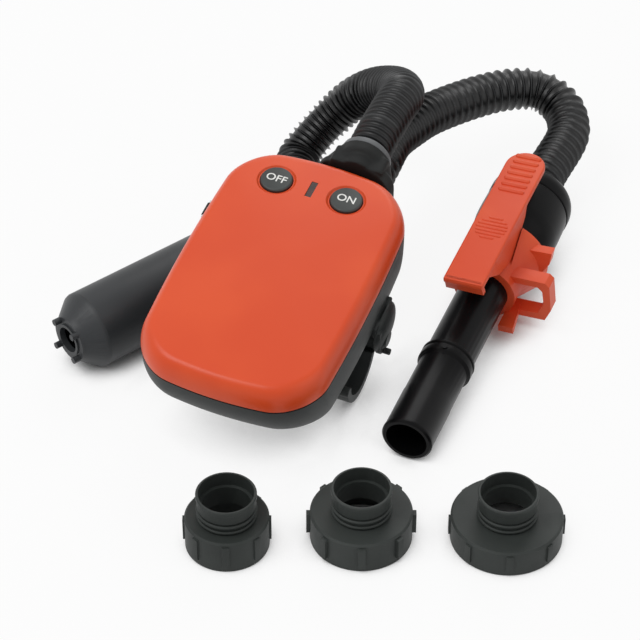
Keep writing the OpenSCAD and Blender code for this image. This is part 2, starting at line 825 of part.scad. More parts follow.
module battery_tray() {
    out = [2 * cell_pitch + 2 * tray_wall, cell_l + 2 * (spring_gap + contact_t + tray_wall), cell_r + tray_floor];
    color("dimgray") at_box() difference() {
        translate([-out.x / 2, cell_y - out.y / 2, shell_floor_z]) cube(out);
        at_cells() rotate([90, 0, 0])
            cylinder(r = cell_r + snug, h = cell_l + 2 * (spring_gap + contact_t), center = true);
        translate([-cell_pitch / 2, cell_y - cell_l / 2 - spring_gap - contact_t, cell_z])
            cube([cell_pitch, cell_l + 2 * (spring_gap + contact_t), out.z]);
    }
}

module battery_contacts() {
    color("gold") at_box() at_cells() for (side = [-1, 1])
        translate([-contact_size / 2, side * (cell_l / 2 + spring_gap + contact_t / 2) - contact_t / 2,
            -contact_size / 2]) {
            cube([contact_size, contact_t, contact_size]);
            translate([contact_size / 2, side > 0 ? -spring_gap : contact_t, contact_size / 2])
                rotate([-90, 0, 0]) cylinder(r = contact_size / 4, h = spring_gap);
        }
}

// Charge socket and cap

module charge_socket() {
    color("black") at_box() difference() {
        union() {
            rod_x(socket_face_x, socket_face_x + socket_l, socket_r, socket_y, socket_z);
            rod_x(-half_w + 2 * wall - socket_seat, socket_face_x + socket_l, socket_r + socket_flange_w,
                socket_y, socket_z);
        }
        difference() {
            rod_x(socket_face_x - eps, socket_face_x + socket_depth, socket_bore_r, socket_y, socket_z);
            rod_x(socket_face_x + cap_plug_l + socket_floor, socket_face_x + socket_l, socket_pin_r,
                socket_y, socket_z);
        }
    }
}

module charge_cap() {
    color("black") at_box() difference() {
        union() {
            rod_x(cap_disc_x - cap_disc_t, cap_disc_x, cap_disc_r, socket_y, socket_z);
            rod_x(cap_disc_x - eps, socket_face_x + cap_plug_l, cap_plug_r, socket_y, socket_z);
            translate([cap_disc_x - cap_disc_t, socket_y - cap_hinge_w / 2, socket_z])
                cube([cap_disc_t, cap_hinge_w, cap_hinge_z - socket_z]);
            rod_y(socket_y - cap_hinge_w / 2, socket_y + cap_hinge_w / 2, cap_barrel_r, cap_hinge_x, cap_hinge_z);
        }
        rod_y(socket_y - cap_hinge_w, socket_y + cap_hinge_w, cap_pin_r + fit, cap_hinge_x, cap_hinge_z);
    }
}

module cap_hinge_pin() {
    reach = cap_hinge_w / 2 + gap + cap_lug_t;
    color("silver") at_box() {
        rod_y(socket_y - reach, socket_y + reach, cap_pin_r, cap_hinge_x, cap_hinge_z);
        cap_lugs(0);
    }
}

// Two flat lugs that carry the pin and go into the shell's side wall
module cap_lugs(grow) {
    for (side = [-1, 1])
        translate([cap_hinge_x - cap_pin_r, socket_y + side * (cap_hinge_w / 2 + gap + cap_lug_t / 2)
            - cap_lug_t / 2 - grow, cap_hinge_z - cap_pin_r - grow])
            cube([cap_lug_l, cap_lug_t + 2 * grow, 2 * cap_pin_r + 2 * grow]);
}

// Hanging hook

module hook_bracket() {
    lug_x1 = hook_x0 - gap;
    lug_x0 = lug_x1 - lug_t;
    ear_x0 = hook_x0 + hook_w + gap;
    low = hook_hinge.z;
    color("black") at_box() difference() {
        union() {
            translate([lug_x0, hook_hinge.y - ear_r, low]) cube([lug_t, 2 * ear_r, -shell_d - low]);
            rod_x(lug_x0, lug_x1, ear_r, hook_hinge.y, low);
            translate([ear_x0, hook_hinge.y - ear_r, low]) cube([ear_t, 2 * ear_r, ear_rise - shell_d - low]);
            rod_x(ear_x0, ear_x0 + ear_t, ear_r, hook_hinge.y, low);
            translate([lug_x0, hook_hinge.y + ear_r - bracket_t, -shell_d - bracket_t])
                cube([ear_x0 + ear_t - lug_x0, bracket_t, bracket_t]);
            rod_x(ear_x0 + ear_t / 2, ear_x0 + ear_t + peg_l, peg_r, hook_hinge.y - peg_r, low - ear_r + peg_r / 2);
        }
        rod_x(lug_x0 - eps, ear_x0 + ear_t + eps, hook_pin_r + fit, hook_hinge.y, low);
    }
}

module hook_pin() {
    head_x = hook_x0 + hook_w + gap + ear_t;
    color("gray") at_box() {
        rod_x(hook_x0 - gap - lug_t, head_x + eps, hook_pin_r, hook_hinge.y, hook_hinge.z);
        translate([head_x, hook_hinge.y, hook_hinge.z]) rotate([0, 90, 0])
            cylinder(r1 = hook_head_r, r2 = hook_head_r - hook_head_t, h = hook_head_t);
    }
}

function bend_point(r, i) =
    let(a = hook_sweep[0] + (hook_sweep[1] - hook_sweep[0]) * i / hook_steps)
    hook_bend_c + r * [cos(a), sin(a)];

module hanging_hook() {
    tip = bend_point(hook_bend_r - hook_strap_t / 2, hook_steps);
    color("black") at_box() difference() {
        union() {
            translate([hook_x0, 0, 0]) rotate([90, 0, 90]) linear_extrude(hook_w) polygon(concat(
                [for (i = [0 : hook_steps]) bend_point(hook_bend_r, i)],
                [for (i = [hook_steps : -1 : 0]) bend_point(hook_bend_r - hook_strap_t, i)]));
            rod_x(hook_x0, hook_x0 + hook_w, hook_barrel_r, hook_hinge.y, hook_hinge.z);
            rod_x(hook_x0, hook_x0 + hook_w, hook_bead_r, tip.x, tip.y);
        }
        rod_x(hook_x0 - eps, hook_x0 + hook_w + eps, hook_pin_r + fit, hook_hinge.y, hook_hinge.z);
    }
}

// Hose boot and the duct inside it

module rounded_slab(w, h, r, y0, y1) {
    hull() for (sx = [-1, 1], sz = [-1, 1])
        rod_y(y0, y1, r, boot_x + sx * (w / 2 - r), boot_mid_z + sz * (h / 2 - r), $fn = hull_fn);
}

// Cross channel: a flat box with rounded sides, the same for its outside and its inside
module channel(r, w, rise, y_mid) {
    half = hose_gap / 2 + rise;
    translate([hose_x - w / 2, y_mid - r, boot_mid_z - half]) cube([w, 2 * r, 2 * half]);
    for (side = [-1, 1])
        translate([hose_x + side * w / 2, y_mid, boot_mid_z - half]) cylinder(r = r, h = 2 * half);
}

module duct_outside(grow) {
    for (z = [lower_hose_z, upper_hose_z])
        rod_y(duct_y0 + duct_r, hose_seat_y + spigot_l, spigot_r + grow, hose_x, z);
    channel(duct_r + grow, duct_w, duct_rise + duct_wall + grow, duct_y0 + duct_r);
}

module flow_duct() {
    mid = duct_y0 + duct_r;
    color("gray") at_box() difference() {
        duct_outside(0);
        for (z = [lower_hose_z, upper_hose_z])
            rod_y(mid, hose_seat_y + spigot_l + eps, spigot_bore_r, hose_x, z);
        channel(duct_r - duct_wall, duct_w, duct_rise, mid);
    }
}

module hose_boot() {
    color("black") at_box() difference() {
        union() {
            difference() {
                union() {
                    rounded_slab(boot_base_w, boot_base_h, boot_base_r, boot_base_y0, boot_base_y1);
                    hull() {
                        rounded_slab(boot_base_w - boot_blend, boot_base_h - boot_blend, boot_base_r,
                            boot_base_y1 - boot_blend, boot_base_y1);
                        for (z = [lower_hose_z, upper_hose_z])
                            rod_y(boot_mouth_y - boot_mouth_l, boot_mouth_y, boot_mouth_r, hose_x, z, $fn = hull_fn);
                    }
                }
                translate([0, 0, -2 * shell_d]) linear_extrude(4 * shell_d) polygon(drawn_in(-gap, -gap));
            }
            translate([hose_x - boot_neck.x / 2, boot_flange_y, boot_mid_z - boot_neck.y / 2])
                cube([boot_neck.x, half_l - boot_flange_y + boot_neck_out, boot_neck.y]);
            translate([hose_x - boot_flange.x / 2, boot_flange_y - boot_flange_t, boot_mid_z - boot_flange.y / 2])
                cube([boot_flange.x, boot_flange_t, boot_flange.y]);
        }
        duct_outside(snug);
        for (z = [lower_hose_z, upper_hose_z]) rod_y(hose_seat_y, boot_mouth_y + eps, hose_r + snug, hose_x, z);
    }
}

// Hoses

module inlet_hose() {
    color("black") ribbed_hose(inlet_route);
}

module outlet_hose() {
    color("black") ribbed_hose(outlet_route);
}

// Pump head

module pump_housing() {
    color("dimgray") at_pump() difference() {
        cylinder(r = pump_r, h = pump_l);
        translate([0, 0, -eps]) cylinder(r = pump_r - pump_wall, h = pump_l + 2 * eps);
    }
}

module pump_end_cap() {
    color("black") at_pump() difference() {
        union() {
            translate([0, 0, -end_cap_l]) cylinder(r1 = end_cap_tip_r, r2 = pump_r, h = end_cap_l);
            cylinder(r = pump_r - pump_wall - snug, h = end_cap_lip);
            translate([0, 0, -end_cap_l - pump_spigot_l]) cylinder(r = spigot_r, h = pump_spigot_l + eps);
        }
        translate([0, 0, -end_cap_l - pump_spigot_l - eps]) cylinder(r = spigot_bore_r, h = pump_spigot_l + pump_l);
        translate([0, 0, -end_cap_l / 2])
            cylinder(r1 = spigot_bore_r, r2 = pump_r - 2 * pump_wall, h = end_cap_l / 2 + end_cap_lip + eps);
        translate([0, 0, end_cap_lip / 2]) rotate_extrude() translate([pump_r - pump_wall - oring_r, 0])
            circle(r = oring_r, $fn = 24);
    }
}

module end_cap_seal() {
    color("black") at_pump() translate([0, 0, end_cap_lip / 2]) rotate_extrude()
        translate([pump_r - pump_wall - oring_r, 0]) circle(r = oring_r - fit, $fn = 24);
}

module pump_hose_cuff() {
    color("black") at_pump()
        tube(hose_r + cuff_t, hose_r + snug, -end_cap_l - cuff_l, -end_cap_l);
}

module intake_cone() {
    face_r = intake_d / 2;
    seat_r = pump_r - pump_wall - snug;
    color("black") at_pump() translate([0, 0, pump_l]) difference() {
        union() {
            rotate_extrude() polygon([[0, 0], [pump_r, 0], [pump_r - cone_edge, cone_l * cone_edge_share],
                [face_r + cone_face_edge, cone_l - 2 * cone_face_edge], [face_r, cone_l], [0, cone_l]]);
            translate([0, 0, -cone_lip_l]) cylinder(r = seat_r, h = cone_lip_l + eps);
            cylinder(r = intake_hole_d / 2 + intake_rim_t, h = cone_l + intake_rim_h);
            for (i = [0 : foot_count - 1]) rotate([0, 0, foot_turn + 360 * i / foot_count]) {
                translate([face_r - foot_in, 0, cone_l / 2]) cylinder(r = foot_r, h = cone_l / 2 + foot_l);
                translate([face_r, 0, cone_l - brace_l]) rotate([0, brace_turn, 0])
                    translate([0, -foot_r / 2, -brace_in]) cube([foot_r, foot_r, brace_l]);
            }
        }
        translate([0, 0, -cone_lip_l - eps]) cylinder(r = seat_r - cone_lip_t, h = cone_lip_l + 2 * eps);
        rotate_extrude() polygon([[0, 0], [seat_r - cone_lip_t, 0],
            [face_r + cone_face_edge - cone_wall, cone_l - cone_wall], [0, cone_l - cone_wall]]);
        translate([0, 0, cone_l / 2]) cylinder(r = intake_hole_d / 2, h = cone_l);
        translate([0, 0, -cone_lip_l / 2]) rotate_extrude() translate([pump_r - pump_wall - oring_r, 0])
            circle(r = oring_r, $fn = 24);
    }
}

module cone_seal() {
    color("black") at_pump() translate([0, 0, pump_l - cone_lip_l / 2]) rotate_extrude()
        translate([pump_r - pump_wall - oring_r, 0]) circle(r = oring_r - fit, $fn = 24);
}

module strainer() {
    r = pump_r - pump_wall - cone_lip_t - snug - fit;
    color("silver") at_pump() translate([0, 0, strainer_z]) difference() {
        cylinder(r = r, h = strainer_t);
        for (row = [1 : strainer_rows], k = [0 : 6 * row - 1])
            rotate([0, 0, 60 * k / row]) translate([row * strainer_step, 0, -eps])
                cylinder(r = strainer_hole_r, h = strainer_t + 2 * eps, $fn = 16);
        translate([0, 0, -eps]) cylinder(r = strainer_hole_r, h = strainer_t + 2 * eps, $fn = 16);
    }
}

module impeller() {
    color("white") at_pump() translate([0, 0, impeller_z]) difference() {
        union() {
            cylinder(r = impeller_r, h = impeller_disc_t);
            cylinder(r = hub_r, h = hub_l);
            for (i = [0 : impeller_blades - 1]) rotate([0, 0, 360 * i / impeller_blades])
                translate([hub_r - blade_root, -blade_t / 2, 0]) rotate([0, 0, blade_turn])
                    cube([impeller_r - hub_r - blade_end_gap, blade_t, blade_h]);
        }
        translate([0, 0, -eps]) cylinder(r = shaft_r, h = hub_l - hub_roof);
    }
}

module motor_shaft() {
    color("silver") at_pump() translate([0, 0, motor_z + motor_l - shaft_in])
        cylinder(r = shaft_r, h = impeller_z + hub_l - hub_roof - eps - motor_z - motor_l + shaft_in);
}

module motor_can() {
    color("silver") at_pump() translate([0, 0, motor_z]) difference() {
        union() {
            cylinder(r = motor_r, h = motor_l);
            translate([0, 0, motor_l - eps]) cylinder(r = motor_nose_r, h = motor_nose_l + eps);
        }
        translate([0, 0, motor_l - bearing_in]) cylinder(r = shaft_r + fit, h = bearing_in + motor_nose_l + eps);
        translate([0, 0, motor_l - bearing_in]) cylinder(r = shaft_r + bearing_w, h = bearing_l);
    }
}

module motor_cradle() {
    color("black") at_pump() translate([0, 0, cradle_z]) {
        difference() {
            union() {
                cylinder(r = motor_r + cradle_ring_t, h = cradle_l);
                for (i = [0 : cradle_fins - 1]) rotate([0, 0, 360 * i / cradle_fins])
                    translate([motor_r, -fin_t / 2, 0]) cube([pump_r - pump_wall - motor_r - snug, fin_t, cradle_l]);
            }
            translate([0, 0, -eps]) cylinder(r = motor_r, h = cradle_l + 2 * eps);
        }
    }
}

module shaft_seal() {
    color("black") at_pump()
        tube(seal_r, shaft_r + fit, seal_z, seal_z + seal_l);
}

// Nozzle

// A piece of the spout's wall, flush with the bore on its upper side
module sensor_shape(grow) {
    difference() {
        intersection() {
            translate([-spout_r, -sensor_size.y / 2 - grow, sensor_u - grow])
                cube([spout_r, sensor_size.y + 2 * grow, sensor_size.z + 2 * grow]);
            cylinder(r = spout_bore_r + sensor_size.x + grow, h = spout_end_u);
        }
        cylinder(r = spout_bore_r - grow, h = spout_end_u);
    }
}

module spout_tube() {
    band_r = spout_r + tip_band_t;
    lip_r = band_r + tip_lip_t;
    ring_r = spout_r + ring_t;
    groove = [for (s = ring_groove_shares) ring_u + s * ring_w];
    color("black") at_nozzle() difference() {
        union() {
            rotate_extrude() polygon([
                [0, 0], [lip_r - tip_edge, 0], [lip_r, tip_edge], [lip_r, tip_lip_l],
                [band_r, tip_lip_l + band_slope], [band_r, tip_band_l], [spout_r, tip_band_l + band_slope],
                [spout_r, ring_u - ring_w / 2 - ring_slope], [ring_r, ring_u - ring_w / 2 + ring_edge],
                [ring_r, groove[0]], [ring_r - ring_groove, groove[1]],
                [ring_r - ring_groove, groove[2]], [ring_r, groove[3]],
                [ring_r, ring_u + ring_w / 2], [spout_r, ring_u + ring_w / 2 + ring_slope],
                [spout_r, spout_end_u], [0, spout_end_u]]);
            translate([-spout_r - ring_t / 2, 0, ring_u - pip_back]) rotate([0, -90, 0])
                cylinder(r = pip_r, h = ring_t);
        }
        translate([0, 0, -eps]) cylinder(r = spout_bore_r, h = spout_end_u + 2 * eps);
        sensor_shape(fit);
    }
}

module coupling_body() {
    color("black") at_nozzle() difference() {
        rotate_extrude() polygon(concat([[0, coupling_u]],
            [for (s = coupling_shares)
                [spout_r + (coupling_r - spout_r) * s[1], coupling_u + coupling_l * s[0]]],
            [[seam_r, seam_u - gap / 2], [seam_r, seam_u], [0, seam_u]]));
        translate([0, 0, coupling_u - eps]) cylinder(r = spout_r + snug, h = spout_end_u - coupling_u + eps);
        translate([0, 0, spout_end_u]) cylinder(r = barb_flange_r + fit, h = seam_u);
        translate([0, 0, seam_u - socket_lip]) cylinder(r = seam_bore_r, h = socket_lip + eps);
    }
}

module coupling_cap() {
    lip_r = seam_bore_r - snug;
    color("black") at_nozzle() difference() {
        union() {
            rotate_extrude() polygon(concat(
                [[0, seam_u], [seam_r, seam_u], [seam_r, seam_u + gap / 2]],
                [for (s = tail_shares)
                    [hose_r + (coupling_r - hose_r) * s[1], seam_u + coupling_tail_l * s[0]]],
                [[0, coupling_end_u]]));
            translate([0, 0, seam_u - socket_lip]) cylinder(r = lip_r, h = socket_lip + eps);
        }
        translate([0, 0, seam_u - socket_lip - eps]) cylinder(r = hose_r + snug, h = 2 * coupling_end_u);
        translate([0, 0, seam_u - socket_lip / 2]) rotate_extrude() translate([lip_r + snug - oring_r, 0])
            circle(r = oring_r, $fn = 24);
    }
}

module coupling_seal() {
    color("black") at_nozzle() translate([0, 0, seam_u - socket_lip / 2]) rotate_extrude()
        translate([seam_bore_r - oring_r, 0]) circle(r = oring_r - fit, $fn = 24);
}

module hose_barb() {
    color("gray") at_nozzle() difference() {
        union() {
            translate([0, 0, spout_end_u]) cylinder(r = barb_flange_r, h = hose_seat_u - spout_end_u);
            translate([0, 0, hose_seat_u - eps]) cylinder(r = spigot_r, h = spigot_l);
        }
        translate([0, 0, spout_end_u - eps]) cylinder(r = spigot_bore_r, h = 2 * spigot_l + barb_u);
        translate([0, 0, spout_end_u - eps])
            cylinder(r1 = spout_bore_r, r2 = spigot_bore_r, h = hose_seat_u - spout_end_u - barb_funnel_land);
    }
}

module level_sensor() {
    color("gray") at_nozzle() sensor_shape(0);
}

// Clip. Its outlines are drawn with u to the right and h up, then turned onto the nozzle.

module across_spout(s0, s1) {
    translate([0, -s0, 0]) rotate([90, 0, 0]) rotate([0, 0, 90]) linear_extrude(s1 - s0) children();
}

module pin_hole(r) {
    rod_y(-lever_w, lever_w, r, -hinge_h, hinge_u);
}

module clip_lever() {
    top = lever_h;
    low = lever_h - lever_t;
    far = lever_u + lever_l;
    color("orangered") at_clip() difference() {
        union() {
            hull() {
                translate([-top, -lever_w / 2, lever_u]) cube([lever_t, lever_w, lever_end_l]);
                translate([-top, 0, far - thumb_r]) rotate([0, 90, 0]) cylinder(r = thumb_r, h = lever_t, $fn = 48);
            }
            across_spout(-lever_w / 2, lever_w / 2) polygon([[lever_u, top], [lever_u + lever_lip_t, top],
                [lever_u + lever_lip_t + lever_lip_lean, top - lever_lip_h],
                [lever_u + lever_lip_lean, top - lever_lip_h]]);
            for (s = [-lever_w / 2, lever_w / 2 - skirt_t])
                across_spout(s, s + skirt_t) polygon(concat([[skirt_u[0], low + eps], [skirt_u[1], low + eps],
                    [skirt_u[1] - skirt_end_in, hinge_h + skirt_end_h]],
                    [for (p = skirt_shares) [hinge_u, hinge_h] + skirt_l * p]));
            for (i = [0 : thumb_ribs - 1])
                translate([-top - rib_h / 2, thumb_rib_side - lever_w / 2, far - thumb_rib_end - i * thumb_rib_pitch])
                    cube([rib_h, lever_w - 2 * thumb_rib_side, rib_w]);
            for (i = [0 : grip_ribs - 1]) {
                off = (i - (grip_ribs - 1) / 2) * grip_pitch;
                half = sqrt(max(grip_r * grip_r - off * off, grip_rib_min * grip_rib_min));
                translate([-top - rib_h / 2, -half, grip_u + off - rib_w / 3]) cube([rib_h, 2 * half, rib_w / 2]);
            }
        }
        pin_hole(clip_pin_r + fit);
    }
}

module clip_saddle() {
    color("orangered") at_clip() difference() {
        union() {
            translate([0, 0, sleeve_u[0]]) cylinder(r = sleeve_r, h = sleeve_u[1] - sleeve_u[0]);
            for (s = [-cheek_s - cheek_t, cheek_s])
                across_spout(s, s + cheek_t) polygon([for (p = cheek_shares) [hinge_u, hinge_h] + hinge_h * p]);
            difference() {
                union() {
                    translate([0, 0, sleeve_u[1] - flare_l]) cylinder(r1 = sleeve_r, r2 = flare_r, h = flare_l);
                    translate([0, 0, sleeve_u[1]]) cylinder(r = flare_r, h = flare_rim_l);
                }
                translate([-2 * flare_r, -lever_w / 2 - 2 * gap, 0])
                    cube([2 * flare_r - flare_notch_h, lever_w + 4 * gap, 2 * sleeve_u[1]]);
            }
            translate([0, 0, sleeve_u[1] - tab_t]) linear_extrude(tab_t)
                polygon([for (p = tab_shares) -spout_r * p]);
            translate([0, 0, loop_u[0]]) linear_extrude(loop_w) difference() {
                polygon([for (p = loop_shares) -spout_r * p]);
                polygon([for (p = loop_shares) -spout_r * p
                    + loop_t * [sign(p[0]), p[1] > loop_root_share ? 1 : 0]]);
            }
            translate([0, -rest_w / 2, loop_u[0]]) cube([-foot_h, rest_w, loop_u[1] - loop_u[0]]);
            hull() {
                translate([-tail_h - tail_t / 2, -tail_s - tail_w / 2, tail_u]) cube([tail_t, tail_w, tail_end_l]);
                translate([-tail_h - tail_t / 2, tail_narrow - tail_s - tail_w / 2, loop_u[0]])
                    cube([tail_t, tail_w - tail_narrow, tail_root_l]);
            }
        }
        cylinder(r = spout_r + fit, h = spout_end_u);
        pin_hole(clip_pin_r);
    }
}

module clip_pin() {
    color("silver") at_clip() rod_y(-lever_w / 2 + gap, lever_w / 2 - gap, clip_pin_r - fit / 2, -hinge_h, hinge_u);
}

// Torsion spring: one wire that winds round the pin, with a straight leg at each end
module clip_spring() {
    n = spring_turns * spring_rings;
    start = -spring_turns * spring_pitch / 2;
    coil = [for (i = [0 : n]) let(a = 360 * i / spring_rings)
        [spring_r * cos(a), start + spring_pitch * i / spring_rings, spring_r * sin(a)]];
    path = concat([coil[0] - [0, 0, spring_leg]], coil, [coil[n] + [0, 0, spring_leg]]);
    t = tangents(path);
    side = sideways(t);
    rings = [for (i = [0 : len(path) - 1]) each ring_at(path[i], t[i], side[i], spring_wire_r, spring_sides)];
    last = len(path) - 1;
    faces = concat([for (i = [0 : last - 1]) each band(i, i + 1, spring_sides)],
        [for (k = [1 : spring_sides - 2]) [0, k, k + 1]],
        [for (k = [1 : spring_sides - 2]) let(b = last * spring_sides) [b, b + k + 1, b + k]]);
    color("silver") at_clip() translate([-hinge_h, 0, hinge_u])
        polyhedron(points = rings, faces = flipped(faces));
    echo(spring_gap_to_itself = spring_pitch - 2 * spring_wire_r);
}

// Adapters

module adapter(cap_d, h, ribs) {
    r = cap_d / 2;
    top = h + neck_h;
    low_r = neck_r - neck_undercut;
    plain_z = h + neck_h * (1 - neck_plain_share);
    color("darkslategray") difference() {
        union() {
            rotate_extrude() polygon([[0, 0], [r - cap_edge / 2, 0], [r, cap_edge / 2], [r, h - cap_edge],
                [r - cap_edge, h], [low_r, h], [low_r, plain_z - neck_undercut / 2],
                [neck_r - neck_edge, plain_z], [neck_r - neck_edge, top - neck_rim_l - neck_edge],
                [neck_r, top - neck_rim_l], [neck_r, top - neck_edge], [neck_r - neck_edge, top], [0, top]]);
            for (i = [1 : thread_count])
                translate([0, 0, plain_z - i * thread_pitch + thread_pitch / 3]) rotate_extrude()
                    translate([neck_r - thread_r, 0]) circle(r = thread_r, $fn = 24);
            for (i = [0 : grip_count - 1]) rotate([0, 0, 360 * i / grip_count])
                translate([r - grip_root, -grip_w / 2, (1 - grip_share) * h])
                    cube([grip_root + ribs, grip_w, grip_share * h - 2 * cap_edge]);
        }
        translate([0, 0, plain_z]) cylinder(r = neck_bore_r, h = top);
        translate([0, 0, -eps]) cylinder(r = low_r - neck_lower_wall, h = top);
        translate([0, 0, -eps]) cylinder(r = r - cap_wall, h = h - cap_roof - gasket_t + eps);
        translate([0, 0, -eps]) cylinder(r = r - cap_wall - gasket_lip, h = h - cap_roof + eps);
    }
}

module gasket(cap_d, h) {
    color("black") tube(cap_d / 2 - cap_wall - gasket_lip - fit, neck_bore_r + gasket_in,
        h - cap_roof - gasket_t, h - cap_roof);
}

module adapter_small() {
    translate(small_place) adapter(cap_small_d, cap_h * cap_h_shares[0], grip_out / 2);
}

module adapter_medium() {
    translate(medium_place) adapter(cap_medium_d, cap_h * cap_h_shares[1], grip_out);
}

module adapter_large() {
    translate(large_place) adapter(cap_large_d, cap_h * cap_h_shares[2], grip_out / 2);
}

module gasket_small() {
    translate(small_place) gasket(cap_small_d, cap_h * cap_h_shares[0]);
}

module gasket_medium() {
    translate(medium_place) gasket(cap_medium_d, cap_h * cap_h_shares[1]);
}

module gasket_large() {
    translate(large_place) gasket(cap_large_d, cap_h * cap_h_shares[2]);
}

front_cover();
rear_shell();
parting_seal();
button_off();
button_on();
tact_switches();
light_window();
charge_lights();
circuit_board();
battery_cells();
battery_tray();
battery_contacts();
charge_socket();
charge_cap();
cap_hinge_pin();
case_screws();
hook_bracket();
hook_pin();
hanging_hook();
hose_boot();
flow_duct();
inlet_hose();
outlet_hose();
pump_hose_cuff();
pump_housing();
pump_end_cap();
end_cap_seal();
intake_cone();
cone_seal();
strainer();
impeller();
motor_shaft();
motor_can();
motor_cradle();
shaft_seal();
spout_tube();
coupling_body();
coupling_cap();
coupling_seal();
hose_barb();
level_sensor();
clip_saddle();
clip_lever();
clip_pin();
clip_spring();
adapter_small();
adapter_medium();
adapter_large();
gasket_small();
gasket_medium();
gasket_large();
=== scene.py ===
"""Looks of an electric fuel transfer pump kit: control box, ribbed hoses, pump head, nozzle and adapters.
"""

import json
import logging
import math
from collections.abc import Iterable, Sequence
from dataclasses import dataclass
from enum import Enum

import bmesh
import bpy
from mathutils import Euler, Matrix, Vector


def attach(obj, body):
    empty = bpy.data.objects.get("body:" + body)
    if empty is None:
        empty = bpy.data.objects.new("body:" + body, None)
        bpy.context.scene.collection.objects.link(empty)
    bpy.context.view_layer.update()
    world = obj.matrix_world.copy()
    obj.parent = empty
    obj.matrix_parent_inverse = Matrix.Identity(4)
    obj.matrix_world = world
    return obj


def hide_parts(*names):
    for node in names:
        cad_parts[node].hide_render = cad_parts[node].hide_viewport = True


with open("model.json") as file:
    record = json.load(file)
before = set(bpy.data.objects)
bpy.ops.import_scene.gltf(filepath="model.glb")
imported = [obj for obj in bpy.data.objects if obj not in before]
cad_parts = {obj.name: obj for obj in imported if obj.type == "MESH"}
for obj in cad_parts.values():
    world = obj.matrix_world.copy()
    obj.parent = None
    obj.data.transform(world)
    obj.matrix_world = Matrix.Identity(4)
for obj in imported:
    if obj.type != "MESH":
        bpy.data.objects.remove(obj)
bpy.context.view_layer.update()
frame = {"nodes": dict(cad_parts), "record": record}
LOG = logging.getLogger("fuel_pump")
BMesh = bmesh.types.BMesh
Object = bpy.types.Object
Pair = tuple[float, float]
Colour = tuple[float, float, float]
Point = tuple[float, float, float]
Profile = tuple[tuple[float, ...], ...]
RIB = "rib"
WHITE = (1.0, 1.0, 1.0)
MM = 0.001
# Corners nearer to each other than this are one.
CLOSE = 0.001 * MM
# The steps of a lever's round end and of an arc about the spout.
ARC_STEPS = 24
# The angle between two faces past which their edge is sharp, unless a piece has its own.
CREASE = 35.0


def linear(colour: Colour) -> Colour:
    """Turns a colour as a screen shows it, 0 to 255, into the linear one that a shader takes."""
    shares = [c / 255 for c in colour]
    return tuple(((s + 0.055) / 1.055) ** 2.4 if s > 0.04045 else s / 12.92 for s in shares)


def mm(*values: float) -> Vector:
    """A point or size given in millimetres, in metres."""
    return Vector(values) * MM


class Sock:
    """A number in a material, so that shader maths reads as an expression."""

    def __init__(self, nodes: "Nodes", socket: bpy.types.NodeSocket) -> None:
        """Wraps an output socket of one of the tree's nodes."""
        self.nodes = nodes
        self.socket = socket

    def maths(self, operation: str, first: "Sock | float", second: "Sock | float") -> "Sock":
        """Adds one Math node.

        Args:
            operation: The Math node's operation.
            first: Its first value or link.
            second: Its second value or link.

        Returns:
            The result as a number.
        """
        return self.nodes.add("ShaderNodeMath", {"operation": operation}, {0: first, 1: second})

    def __add__(self, other: "Sock | float") -> "Sock":
        """The sum."""
        return self.maths("ADD", self, other)

    def __radd__(self, other: float) -> "Sock":
        """The sum, with the plain number first."""
        return self.maths("ADD", other, self)

    def __sub__(self, other: "Sock | float") -> "Sock":
        """The difference."""
        return self.maths("SUBTRACT", self, other)

    def __rsub__(self, other: float) -> "Sock":
        """The difference, with the plain number first."""
        return self.maths("SUBTRACT", other, self)

    def __mul__(self, other: "Sock | float") -> "Sock":
        """The product."""
        return self.maths("MULTIPLY", self, other)

    def __rmul__(self, other: float) -> "Sock":
        """The product, with the plain number first."""
        return self.maths("MULTIPLY", other, self)

    def above(self, low: float, high: float) -> "Sock":
        """0 below low, 1 above high, and a smooth rise between them."""
        ends = {"Value": self, "From Min": low, "From Max": high}
        return self.nodes.add("ShaderNodeMapRange", {"interpolation_type": "SMOOTHSTEP"}, ends)


class Nodes:
    """A shader's node tree, to which nodes are added one call at a time."""

    def __init__(self, tree: bpy.types.NodeTree) -> None:
        """Takes the tree of a material or of the world."""
        self.tree = tree

    def node(self, kind: str, settings: dict | None = None, sockets: dict | None = None) -> bpy.types.Node:
        """Adds a node.

        Args:
            kind: The node's type.
            settings: Its settings, which are set first.
            sockets: The values or links of its sockets, by name or number.

        Returns:
            The node.
        """
        made = self.tree.nodes.new(kind)
        for name, value in (settings or {}).items():
            setattr(made, name, value)
        for name, value in (sockets or {}).items():
            self.feed(made.inputs[name], value)
        return made

    def add(self, kind: str, settings: dict | None = None, sockets: dict | None = None,
            out: str | int = 0) -> Sock:
        """Adds a node and returns one of its outputs, the first unless out says otherwise."""
        return Sock(self, self.node(kind, settings, sockets).outputs[out])

    def feed(self, socket: bpy.types.NodeSocket, value: "Sock | float | Sequence[float]") -> None:
        """Links a socket to a number of the material, or sets its plain value.

        Args:
            socket: The input socket.
            value: The number, or a plain value or colour.
        """
        if isinstance(value, Sock):
            self.tree.links.new(value.socket, socket)
        elif socket.type == "RGBA":
            socket.default_value = (*value, 1.0)
        else:
            socket.default_value = value

    def seen(self) -> Sock:
        """Finds the rays that see the background: from the camera, off gloss or through glass.

        Returns:
            1 for such a ray, 0 for any other.
        """
        path = self.node("ShaderNodeLightPath")
        camera, gloss, glass = (Sock(self, path.outputs[f"Is {kind} Ray"])
                                for kind in ("Camera", "Glossy", "Transmission"))
        return camera + gloss + glass


